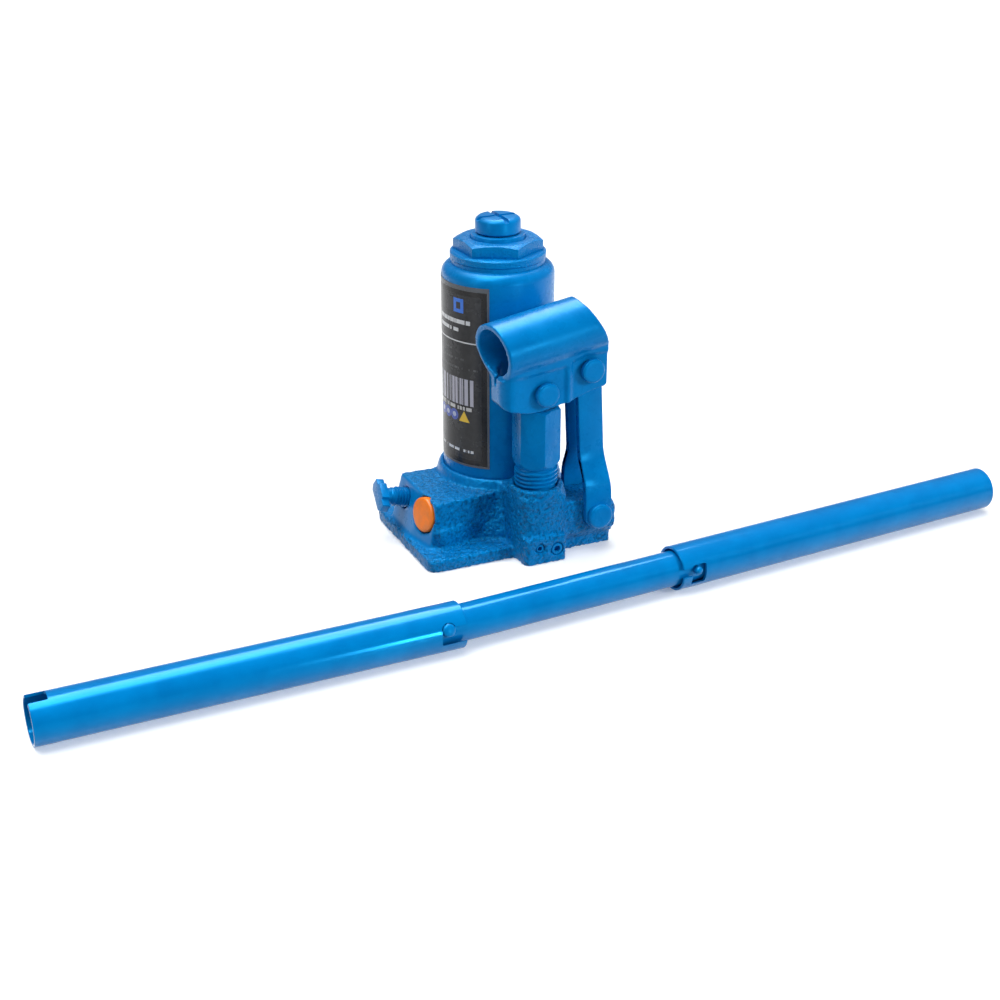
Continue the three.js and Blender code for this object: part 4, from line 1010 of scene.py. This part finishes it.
class JACK_OT_socket(bpy.types.Operator):
    """Build the lever socket: a rolled tube that runs down into two cheeks and a closed nose"""

    bl_idname = "jack.socket"
    bl_label = "Lever Socket"

    def execute(self, context):
        tilt, radius, level = socket_frame()
        wall, half = sizes().sheet_wall, sizes().cheek_half
        y = middle("handle_socket").y
        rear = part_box("handle_socket")[1].x
        start = -24.5 * MM

        def on_tube(run, off):
            return (
                run * math.cos(tilt) - off * math.sin(tilt),
                level + run * math.sin(tilt) + off * math.cos(tilt),
            )

        side = [
            on_tube(start, radius + MM), on_tube(-21.2 * MM, 2 * MM - radius), (-19 * MM, 84 * MM),
            (-18.9 * MM, 76.2 * MM), (-17.6 * MM, 74.3 * MM),
            (-15.4 * MM, 73.4 * MM), (-12.7 * MM, 72.9 * MM),
            (-8.5 * MM, 71.9 * MM), (-4.8 * MM, 71.5 * MM), (0, 72.0 * MM), (6 * MM, 73.2 * MM),
            (13.5 * MM, 74.6 * MM), (20 * MM, 77 * MM), (rear - 4 * MM, 78.9 * MM),
            (rear - 1.4 * MM, 79.1 * MM),
            (rear - 0.2 * MM, 80.4 * MM), (rear, 82.5 * MM), (rear, 98.8 * MM), (rear - 0.5 * MM, 100.4 * MM),
            (28.2 * MM, 105.4 * MM), (25 * MM, 110.8 * MM), (22 * MM, 115.6 * MM), (18.6 * MM, 119.6 * MM),
            (15 * MM, 122 * MM),
        ]
        obj = socket_tube("lever_socket", radius, start - 5 * MM, 45 * MM)
        skirt = cheek_block("socket_cheeks", half, -19.2 * MM, 45 * MM, 60 * MM, level - 4 * MM, 8 * MM)
        combine(obj, skirt, "UNION")
        combine(obj, plate_from_side("side_profile", side, y - 20 * MM, y + 20 * MM), "INTERSECT")
        inner = cheek_block(
            "cheek_room", half - wall, -19.2 * MM + wall, 70 * MM, 50 * MM, level - 3 * MM, 5.4 * MM
        )
        combine(inner, socket_tube("socket_bore", radius - wall, -60 * MM, 90 * MM), "UNION")
        combine(obj, inner)
        seam = [(-26 * MM, 90 * MM), (-26 * MM, 80 * MM), (-14 * MM, 86 * MM), (-14 * MM, 92 * MM)]
        combine(obj, plate_from_side("nose_seam", seam, y - 0.9 * MM, y + 0.9 * MM))
        mouth = slab("mouth_cut", (-40 * MM, -50 * MM, 2 * MM - radius), (0, 50 * MM, 40 * MM))
        mouth_x, mouth_z = on_tube(-20.4 * MM, 0)
        slant = Matrix.Rotation(MOUTH_SLANT, 4, "Z")
        move_to(mouth, Matrix.Translation((mouth_x, y, mouth_z)) @ Matrix.Rotation(-tilt, 4, "Y") @ slant)
        combine(obj, mouth)
        melt(obj, 0.5 * MM, 6)
        press_cheeks(obj, y, 0.9 * MM)
        pick(obj)
        bpy.ops.object.shade_smooth()
        finish_piece(obj, "lever", smooth_enamel(), "blue_paint", "handle_socket")
        return {"FINISHED"}


# ---------------------------------------------------------------- links, pins
def link_bar(name, node):
    """A bar drawn down in steps from its upper eye, set outwards to pass the casting's lug."""
    low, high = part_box(node)
    y_mid = middle("handle_socket").y
    outward = 1 if (low.y + high.y) / 2 > y_mid else -1
    thick = sizes().link_thickness
    upper, lower = middle("link_pin_upper"), middle("link_pin_lower")
    top_half, foot_half = 6 * MM, 6.5 * MM
    outer_top = y_mid + outward * (sizes().cheek_half - sizes().sheet_wall - 0.3 * MM)
    outer_foot = high.y if outward > 0 else low.y
    steps = [
        (upper.x, top_half, outer_top, high.z),
        (upper.x + 2.3 * MM, top_half, outer_top, 50 * MM),
        (upper.x + 2.7 * MM, top_half + 0.1 * MM, outer_top, 46 * MM),
        (upper.x + 3.2 * MM, foot_half - 0.2 * MM, outer_foot - outward * 0.6 * MM, 35 * MM),
        (upper.x + 3.5 * MM, foot_half, outer_foot, 31 * MM),
        (lower.x, foot_half, outer_foot, low.z),
    ]
    x, half, outer, z = steps[0]
    inner = outer - outward * thick
    clear_selection()
    bpy.ops.mesh.primitive_plane_add(size=1, location=(x, (outer + inner) / 2, z))
    obj = named(name)
    obj.scale = (2 * half, thick, 1)
    settle(obj)
    bpy.ops.object.mode_set(mode="EDIT")
    bpy.ops.mesh.select_all(action="SELECT")
    for next_x, next_half, next_outer, next_z in steps[1:]:
        shift = (next_x - x, next_outer - outer, next_z - z)
        bpy.ops.mesh.extrude_region_move(TRANSFORM_OT_translate={"value": shift})
        bpy.ops.transform.resize(value=(next_half / half, 1, 1), center_override=(next_x, next_outer, next_z))
        x, half, outer, z = next_x, next_half, next_outer, next_z
    bpy.ops.mesh.select_all(action="SELECT")
    bpy.ops.mesh.normals_make_consistent(inside=False)
    bpy.ops.object.mode_set(mode="OBJECT")
    crosswise = lambda a, b: abs(a.x - b.x) < 0.01 * MM and abs(a.z - b.z) < 0.01 * MM
    bevel_edges(obj, lambda a, b: crosswise(a, b) and a.z > high.z - MM, top_half - 0.2 * MM, 10)
    bevel_edges(obj, lambda a, b: crosswise(a, b) and a.z < low.z + MM, foot_half - 0.2 * MM, 10)

    def lengthwise(a, b):
        return abs(a.y - b.y) < 0.01 * MM and abs(a.x - b.x) > 5 * MM and 30 * MM < a.z < 47 * MM

    bevel_edges(obj, lengthwise, 3.0 * MM, 5)
    round_edges(obj, 0.45 * MM, 50, 3)
    shade(obj, 30)
    return finish_piece(obj, "links", smooth_enamel(), "blue_paint", node)


class JACK_OT_links(bpy.types.Operator):
    """Build the two link bars, stepped outwards at the foot"""

    bl_idname = "jack.links"
    bl_label = "Link Bars"

    def execute(self, context):
        link_bar("front_link", "link_bar_front")
        link_bar("rear_link", "link_bar_rear")
        return {"FINISHED"}


def rivet(name, node, shank, body):
    """A rivet along Y with a low, slightly dished head at each end."""
    low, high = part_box(node)
    reach = (high.y - low.y) / 2
    head = (high.z - low.z) / 2
    thick = 2.2 * MM
    profile = []
    end = [
        (0.3 * MM, 0.12 * MM), (head * 0.55, 0.05 * MM), (head * 0.78, 0.0), (head - 0.5 * MM, 0.22 * MM),
        (head - 0.12 * MM, 0.6 * MM), (head, 1.1 * MM), (head, thick), (shank, thick),
    ]
    profile += [(r, -reach + depth) for r, depth in end]
    profile += [(r, reach - depth) for r, depth in reversed(end)]
    obj = turned(name, profile, 56)
    centre = (low + high) / 2
    move_to(obj, Matrix.Translation(centre) @ Matrix.Rotation(math.pi / 2, 4, "X"))
    shade(obj, 40)
    return finish_piece(obj, body, smooth_enamel(), "blue_paint", node)


class JACK_OT_pins(bpy.types.Operator):
    """Build the three riveted pins of the lever"""

    bl_idname = "jack.pins"
    bl_label = "Lever Pins"

    def execute(self, context):
        rivet("plunger_rivet", "plunger_pin", 3.0 * MM, "lever")
        rivet("upper_link_rivet", "link_pin_upper", 3.0 * MM, "links")
        rivet("lower_link_rivet", "link_pin_lower", 3.5 * MM, "links")
        return {"FINISHED"}


class JACK_OT_plunger(bpy.types.Operator):
    """Build the pump plunger with its slotted eye"""

    bl_idname = "jack.plunger"
    bl_label = "Pump Plunger"

    def execute(self, context):
        low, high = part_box("pump_plunger")
        centre = (low + high) / 2
        eye_low = top("pump_barrel") + 1.2 * MM
        shaft = turned("plunger_rod", [
            (4.2 * MM, low.z), (5 * MM, low.z + 0.8 * MM), (5 * MM, low.z + 2.5 * MM),
            (3.8 * MM, low.z + 2.5 * MM),
            (3.8 * MM, low.z + 5 * MM), (5 * MM, low.z + 5 * MM), (5 * MM, eye_low + 2 * MM),
        ], 64)
        move_to(shaft, Matrix.Translation((centre.x, centre.y, 0)))
        half = (high.y - low.y) / 2
        eye = slab("plunger_eye", (low.x, centre.y - half, eye_low), (high.x, centre.y + half, high.z))
        crown = lambda a, b: abs(a.x - b.x) < 0.01 * MM and a.z > high.z - MM and b.z > high.z - MM
        bevel_edges(eye, crown, 6 * MM, 10)
        pin = middle("plunger_pin")
        for shift in (-1.6 * MM, -0.8 * MM, 0, 0.8 * MM, 1.6 * MM):
            drill = rod("eye_drill", 3.5 * MM, -20 * MM, 20 * MM, 48)
            place = Matrix.Translation((pin.x + shift, pin.y, pin.z)) @ Matrix.Rotation(math.pi / 2, 4, "X")
            combine(eye, move_to(drill, place))
        round_edges(eye, 0.4 * MM, 35, 2)
        weld(shaft, eye)
        shade(shaft, 35)
        finish_piece(
            shaft, "plunger", shared_material("turned_steel", bare_steel), "oiled_steel", "pump_plunger"
        )
        return {"FINISHED"}


# ---------------------------------------------------------------- release valve, filler plug and front plugs
class JACK_OT_release_valve(bpy.types.Operator):
    """Build the release valve: a wound thread, a neck and a flat head with two ears"""

    bl_idname = "jack.release_valve"
    bl_label = "Release Valve"

    def execute(self, context):
        joint = JOINTS["release_valve_turn"]
        obj = turned("release_screw", [
            (0.8 * MM, -13 * MM), (3.4 * MM, -10.4 * MM), (3.4 * MM, -6 * MM), (4.0 * MM, -5.6 * MM),
            (4.0 * MM, 7.6 * MM), (3.6 * MM, 8.1 * MM), (3.6 * MM, 10.6 * MM),
        ], 56)
        weld(obj, coil_thread("valve_thread", 4.0 * MM, 4.62 * MM, 1.5 * MM, -5 * MM, 8.2 * MM, 48))
        reach, thick, low = 8.0 * MM, 3.7 * MM, 10.05 * MM
        head = slab("valve_head", (-3.9 * MM, -reach, low), (3.9 * MM, reach, low + thick))
        corner = lambda a, b: abs(a.x - b.x) < 0.01 * MM and abs(a.y - b.y) < 0.01 * MM
        bevel_edges(head, corner, 1.9 * MM, 1)
        for side in (-1, 1):
            notch = slab(
                "ear_notch", (2.3 * MM, -reach - MM, low - MM), (5 * MM, -4.2 * MM, low + thick + MM)
            )
            notch.scale = (1, side, 1)
            settle(notch)
            combine(head, tidy_shell(notch))
        run_modifier(
            head, "BEVEL", width=0.45 * MM, segments=3, limit_method="ANGLE", angle_limit=math.radians(28)
        )
        head.rotation_euler.z = EAR_TURN
        weld(obj, settle(head))
        shade(obj, 32)
        swing = Matrix.Rotation(math.atan2(joint["axis"][0], joint["axis"][2]), 4, "Y")
        move_to(obj, Matrix.Translation(joint["pos_m"]) @ swing)
        finish_piece(obj, "release_valve", smooth_enamel(), "blue_paint", "release_valve_screw")
        return {"FINISHED"}


class JACK_OT_filler_plug(bpy.types.Operator):
    """Build the orange rubber filler plug"""

    bl_idname = "jack.filler_plug"
    bl_label = "Filler Plug"

    def execute(self, context):
        axis = Vector(JOINTS["filler_plug_pull"]["axis"])
        face = Vector((-46.5 * MM, -20 * MM, 19.3 * MM))
        radius = 8 * MM
        obj = turned("filler_stopper", [
            (3.2 * MM, -11 * MM), (4 * MM, -9.5 * MM), (4 * MM, -3.6 * MM), (radius - 0.3 * MM, -3.6 * MM),
            (radius, -3.2 * MM), (radius, -0.3 * MM), (radius - 0.25 * MM, 0.2 * MM),
            (radius - 0.9 * MM, 0.5 * MM),
            (radius - 2.2 * MM, 0.62 * MM), (radius * 0.4, 0.74 * MM), (0.3 * MM, 0.78 * MM),
        ], 80)
        move_to(obj, along(axis, face))
        shade(obj, 45)
        material = shared_material("orange_rubber_skin", moulded_rubber, tuple(colours().orange), 0.25, 0.42)
        finish_piece(obj, "filler_plug", material, "orange_rubber", "oil_filler_plug")
        return {"FINISHED"}


class JACK_OT_front_plugs(bpy.types.Operator):
    """Build the two socket-head plugs in the pump block"""

    bl_idname = "jack.front_plugs"
    bl_label = "Front Plugs"

    def execute(self, context):
        for name, node in (
            ("overload_plug", "overload_valve_plug"), ("delivery_plug", "delivery_valve_plug")
        ):
            low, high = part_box(node)
            radius = (high.z - low.z) / 2
            depth = high.y - low.y
            obj = turned(name, [
                (radius, 0), (radius, depth - 0.4 * MM), (radius - 0.4 * MM, depth),
            ], 48)
            recess = hex_bar("plug_recess", radius, 0, depth - 2.5 * MM, depth + MM)
            combine(obj, recess)
            round_edges(obj, 0.12 * MM, 30, 2)
            stand = Matrix.Translation(((low.x + high.x) / 2, high.y, (low.z + high.z) / 2))
            move_to(obj, stand @ Matrix.Rotation(math.pi / 2, 4, "X"))
            shade(obj, 35)
            finish_piece(obj, "base", grainy_enamel(), "blue_paint", node)
        return {"FINISHED"}


# ---------------------------------------------------------------- label
class JACK_OT_label(bpy.types.Operator):
    """Build the wrapped rating label and its generic print"""

    bl_idname = "jack.label"
    bl_label = "Rating Label"

    def execute(self, context):
        low, high = bottom("rating_label"), top("rating_label")
        inner = half_width("reservoir_tube") + LABEL_GAP
        outer = inner + LABEL_FILM
        start, sweep = LABEL_START, LABEL_SWEEP
        clear_selection()
        bpy.ops.mesh.primitive_plane_add(size=1, location=((inner + outer) / 2, 0, (low + high) / 2),
                                         rotation=(math.pi / 2, 0, 0))
        obj = named("wrap_label")
        obj.scale = (outer - inner, high - low, 1)
        settle(obj)
        obj.rotation_euler.z = start
        settle(obj)
        bpy.ops.object.mode_set(mode="EDIT")
        bpy.ops.mesh.select_all(action="SELECT")
        bpy.ops.mesh.spin(steps=72, angle=-sweep, center=(0, 0, 0), axis=(0, 0, 1))
        bpy.ops.mesh.select_all(action="SELECT")
        bpy.ops.mesh.remove_doubles(threshold=0.001 * MM)
        bpy.ops.mesh.normals_make_consistent(inside=False)
        bpy.ops.object.mode_set(mode="OBJECT")
        shade(obj, 30)
        material = label_film("printed_label", outer, start + sweep, low, high, outer * sweep)
        finish_piece(obj, "base", material, "label_film", "rating_label")
        return {"FINISHED"}


# ---------------------------------------------------------------- handle
def tube_lie(node, joint):
    """The frame of an outer handle tube on the floor: its heading, its left end and its length."""
    low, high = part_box(node)
    way = Vector(JOINTS[joint]["axis"])
    way = way if way.x > 0 else -way
    radius = (high.z - low.z) / 2
    heading = math.atan2(way.y, way.x)
    length = (high.x - low.x - 2 * radius * math.sin(heading)) / math.cos(heading)
    left = (low + high) / 2 - way * (length / 2)
    return heading, left, length, radius


def middle_lie(node):
    low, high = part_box(node)
    radius = (high.z - low.z) / 2
    heading = 0.08
    for _ in range(20):
        run = high.x - low.x - 2 * radius * math.sin(heading)
        rise = high.y - low.y - 2 * radius * math.cos(heading)
        heading = math.atan2(rise, run)
    length = math.hypot(run, rise)
    way = Vector((math.cos(heading), math.sin(heading), 0))
    return heading, (low + high) / 2 - way * (length / 2), length, radius


def lay_tube(obj, heading, left):
    turn = Matrix.Rotation(heading, 4, "Z") @ Matrix.Rotation(math.pi / 2, 4, "Y")
    return move_to(obj, Matrix.Translation(left) @ turn)


def side_notch(name, along_low, along_high, low, high, lean, heading, left, corner=0.8 * MM):
    """A cutter through a tube's near wall, leaning up from level."""
    obj = slab(name, (along_low, -30 * MM, low), (along_high, 0, high))
    bevel_edges(obj, lambda a, b: abs(a.x - b.x) < 0.01 * MM and abs(a.z - b.z) < 0.01 * MM, corner, 6)
    obj.rotation_euler.x = -lean
    settle(obj)
    return move_to(obj, Matrix.Translation(left) @ Matrix.Rotation(heading, 4, "Z"))


def pin_lean(node, heading, left):
    """How far along a tube its button pin stands, and how far it leans up from level."""
    offset = middle(node) - left
    way = Vector((math.cos(heading), math.sin(heading), 0))
    near = Vector((way.y, -way.x, 0))
    return offset.dot(way), math.atan2(offset.z, offset.dot(near))


class JACK_OT_handle(bpy.types.Operator):
    """Build the three handle tubes with their notches and button pins"""

    bl_idname = "jack.handle"
    bl_label = "Handle"

    def execute(self, context):
        lip = 0.25 * MM
        wall = sizes().tube_wall
        heading, left, length, radius = tube_lie("handle_front_tube", "front_tube_pull")
        front = lay_tube(pipe("front_handle_tube", radius, radius - wall, 0, length, lip), heading, left)
        slot_half = 3.4 * MM
        key = slab("key_notch", (-MM, -slot_half, 0), (7.5 * MM, slot_half, 30 * MM))
        bevel_edges(key, lambda a, b: abs(a.z - b.z) > 5 * MM, 0.6 * MM, 3)
        combine(front, move_to(key, Matrix.Translation(left) @ Matrix.Rotation(heading, 4, "Z")))
        at, lean = pin_lean("front_joint_pin", heading, left)
        reach = 3.1 * MM
        notch = side_notch(
            "button_notch", at - reach, length + 20 * MM, -5.9 * MM, 1.0 * MM, lean, heading, left
        )
        combine(front, notch)
        seat = side_notch(
            "button_seat", at - reach, at + reach, -reach, reach, lean, heading, left, reach * 0.96
        )
        combine(front, seat)
        shade(front, 30)
        finish_piece(front, "handle_front", self.gloss(), "blue_paint", "handle_front_tube")

        heading, left, length, radius = tube_lie("handle_rear_tube", "rear_tube_pull")
        rear = lay_tube(pipe("rear_handle_tube", radius, radius - wall, 0, length, lip), heading, left)
        at, lean = pin_lean("rear_joint_pin", heading, left)
        neck = side_notch("slot_neck", -20 * MM, 8 * MM, -2.0 * MM, 2.0 * MM, lean, heading, left)
        pocket = side_notch("slot_pocket", 4.5 * MM, 11.7 * MM, -6.2 * MM, 2.8 * MM, lean, heading, left)
        combine(rear, neck)
        combine(rear, pocket)
        shade(rear, 30)
        finish_piece(rear, "handle_rear", self.gloss(), "blue_paint", "handle_rear_tube")

        heading, left, length, radius = middle_lie("handle_middle_tube")
        core = lay_tube(pipe("middle_handle_tube", radius, radius - 1.4 * MM, 0, length, lip), heading, left)
        for name, node, size in (
            ("front_button", "front_joint_pin", 2.8 * MM), ("rear_button", "rear_joint_pin", 1.7 * MM)
        ):
            at, lean = pin_lean(node, heading, left)
            out = Vector((math.sin(heading), -math.cos(heading), 0)) * math.cos(lean) + Vector(
                (0, 0, math.sin(lean))
            )
            foot = left + Vector((math.cos(heading), math.sin(heading), 0)) * at
            combine(core, move_to(rod("button_hole", size + 0.1 * MM, 0, 20 * MM, 48), along(out, foot)))
            tip = 11.1 * MM
            button = turned(name, [
                (size, radius - 2.0 * MM), (size, tip - 1.1 * MM), (size * 0.9, tip - 0.6 * MM),
                (size * 0.62, tip - 0.2 * MM), (size * 0.15, tip),
            ], 48)
            shade(move_to(button, along(out, foot)), 45)
            finish_piece(button, "handle_middle", smooth_enamel(), "blue_paint", node)
        shade(core, 30)
        finish_piece(core, "handle_middle", self.gloss(), "blue_paint", "handle_middle_tube")
        return {"FINISHED"}

    def gloss(self):
        return shared_material("tube_enamel", enamel, gloss=0.15, peel=0.18, shine=0.75)


# ---------------------------------------------------------------- the frame's own small pieces
class JACK_OT_inner_parts(bpy.types.Operator):
    """Give the carried inner pieces their metal, copper and rubber finishes"""

    bl_idname = "jack.inner_parts"
    bl_label = "Inner Parts"

    def execute(self, context):
        steel = shared_material("turned_steel", bare_steel)
        spring = shared_material("spring_steel", bare_steel, False)
        finishes = {
            "oiled_steel": steel,
            "copper": shared_material("soft_copper", soft_copper),
            "black_rubber": dark_rubber(),
        }
        slots = {part["node"]: part["material_slot"] for part in frame["record"]["subparts"]}
        for name, obj in frame["nodes"].items():
            if obj.hide_render:
                continue
            material = spring if "spring" in name else finishes.get(slots[name], smooth_enamel())
            if name == "tank_gasket_upper":
                material = smooth_enamel()  # it was sprayed with the rest of the jack
            obj.data.materials.clear()
            obj.data.materials.append(material)
        return {"FINISHED"}


# ---------------------------------------------------------------- stage
def pale_floor(name):
    recipe = Recipe(name)
    cloud = recipe.noise(0.3, 3.0)
    colour = recipe.blend(recipe.range(cloud, 0.3, 0.7), (0.86, 0.87, 0.88), (0.9, 0.905, 0.91))
    return recipe.use(
        Base_Color=colour, Roughness=0.22, Specular_IOR_Level=0.45,
        Emission_Color=(1, 1, 1, 1), Emission_Strength=0.22,
    )


def softbox(name, place, aim, size, energy):
    """A lit card that only shows as a reflection."""
    clear_selection()
    bpy.ops.object.light_add(type="AREA", location=place)
    lamp = bpy.context.object
    lamp.name = name
    lamp.data.shape = "RECTANGLE"
    lamp.data.size, lamp.data.size_y = size
    lamp.data.energy = energy
    lamp.visible_diffuse = False
    lamp.rotation_euler = (Vector(aim) - Vector(place)).to_track_quat("-Z", "Y").to_euler()
    return lamp


def sunlight(name, direction, energy, angle):
    """A distant light of the given angle across."""
    clear_selection()
    bpy.ops.object.light_add(type="SUN", location=direction)
    lamp = bpy.context.object
    lamp.name = name
    lamp.data.energy = energy
    lamp.data.angle = math.radians(angle)
    lamp.rotation_euler = Vector(direction).to_track_quat("Z", "Y").to_euler()
    return lamp


class JACK_OT_stage(bpy.types.Operator):
    """Set out the pale floor, the soft lights and the camera"""

    bl_idname = "jack.stage"
    bl_label = "Stage"

    def execute(self, context):
        stage = context.scene.jack_stage
        clear_selection()
        bpy.ops.mesh.primitive_plane_add(size=40, location=(0, 0, -0.02 * MM))
        floor = settle(named("floor"))
        floor.data.materials.append(pale_floor("pale_floor"))
        floor.visible_diffuse = False
        floor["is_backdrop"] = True
        world = bpy.data.worlds.new("studio")
        world.use_nodes = True
        nodes, links = world.node_tree.nodes, world.node_tree.links
        place = nodes.new("ShaderNodeTexCoord")
        height = nodes.new("ShaderNodeSeparateXYZ")
        links.new(place.outputs["Generated"], height.inputs[0])
        fade = nodes.new("ShaderNodeFloatCurve")
        curve = fade.mapping.curves[0]
        curve.points[0].location = (0.0, stage.below)
        curve.points[1].location = (1.0, stage.sky)
        curve.points.new(0.47, stage.below)
        curve.points.new(0.56, stage.horizon)
        fade.mapping.update()
        lift = nodes.new("ShaderNodeMath")
        lift.operation = "MULTIPLY_ADD"
        lift.inputs[1].default_value = 0.5
        lift.inputs[2].default_value = 0.5
        links.new(height.outputs["Z"], lift.inputs[0])
        links.new(lift.outputs[0], fade.inputs["Value"])
        links.new(fade.outputs["Value"], nodes["Background"].inputs["Strength"])
        nodes["Background"].inputs["Color"].default_value = (1, 1, 1, 1)
        context.scene.world = world
        main_light = sunlight("broad_light", (0.68, -0.7, 0.42), stage.sun, 20)
        main_light.visible_glossy = False
        sunlight("overhead_light", (-0.2, 0.1, 1.0), stage.overhead, 60)
        softbox("strip_light", (-0.1, 0.05, 0.9), (0, -0.06, 0.05), (1.6, 0.5), stage.streak_power)
        for name, height in (("glint_upper", 0.17), ("glint_lower", 0.06)):
            softbox(name, (0.26, -1.0, height), (-0.09, -0.11, 0.01), (0.1, 0.016), stage.glint_power)
        softbox("left_light", (-1.0, -0.35, 0.5), (0, -0.03, 0.08), (0.35, 0.9), stage.side_power)
        bpy.ops.object.camera_add(
            location=stage.camera_place,
            rotation=(math.pi / 2 - stage.camera_pitch, 0, -stage.camera_heading),
        )
        camera = context.object
        camera.data.lens = stage.focal_length
        camera.data.sensor_width = 36
        context.scene.camera = camera
        context.scene.view_settings.view_transform = "Standard"
        return {"FINISHED"}


# ---------------------------------------------------------------- panel and registration
BUILD_ORDER = (
    JACK_OT_stage,
    JACK_OT_base,
    JACK_OT_tank,
    JACK_OT_top_nut,
    JACK_OT_ram,
    JACK_OT_screw,
    JACK_OT_pump,
    JACK_OT_plunger,
    JACK_OT_socket,
    JACK_OT_links,
    JACK_OT_pins,
    JACK_OT_release_valve,
    JACK_OT_filler_plug,
    JACK_OT_front_plugs,
    JACK_OT_label,
    JACK_OT_handle,
    JACK_OT_inner_parts,
)


class JACK_PT_panel(bpy.types.Panel):
    """Sizes, colours and building steps of the jack"""

    bl_idname = "JACK_PT_panel"
    bl_label = "Bottle Jack"
    bl_space_type = "VIEW_3D"
    bl_region_type = "UI"
    bl_category = "Bottle Jack"

    def draw(self, context):
        layout = self.layout
        for group in (context.scene.jack_sizes, context.scene.jack_colours, context.scene.jack_stage):
            box = layout.box()
            for name in group.bl_rna.properties.keys():
                if name not in {"rna_type", "name"}:
                    box.prop(group, name)
        for operator in BUILD_ORDER:
            layout.operator(operator.bl_idname)


CLASSES = (JackSizes, JackColours, StageSettings, *BUILD_ORDER, JACK_PT_panel)


def register():
    for cls in CLASSES:
        bpy.utils.register_class(cls)
    bpy.types.Scene.jack_sizes = PointerProperty(type=JackSizes)
    bpy.types.Scene.jack_colours = PointerProperty(type=JackColours)
    bpy.types.Scene.jack_stage = PointerProperty(type=StageSettings)


def unregister():
    del bpy.types.Scene.jack_stage
    del bpy.types.Scene.jack_colours
    del bpy.types.Scene.jack_sizes
    for cls in reversed(CLASSES):
        bpy.utils.unregister_class(cls)


def main():
    register()
    for operator in BUILD_ORDER:
        group, name = operator.bl_idname.split(".")
        getattr(getattr(bpy.ops, group), name)()
    boxes = {
        "cad": [list(corner) for corner in cad_bounds], "visual": [list(corner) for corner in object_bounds()]
    }


if __name__ == "__main__":
    main()
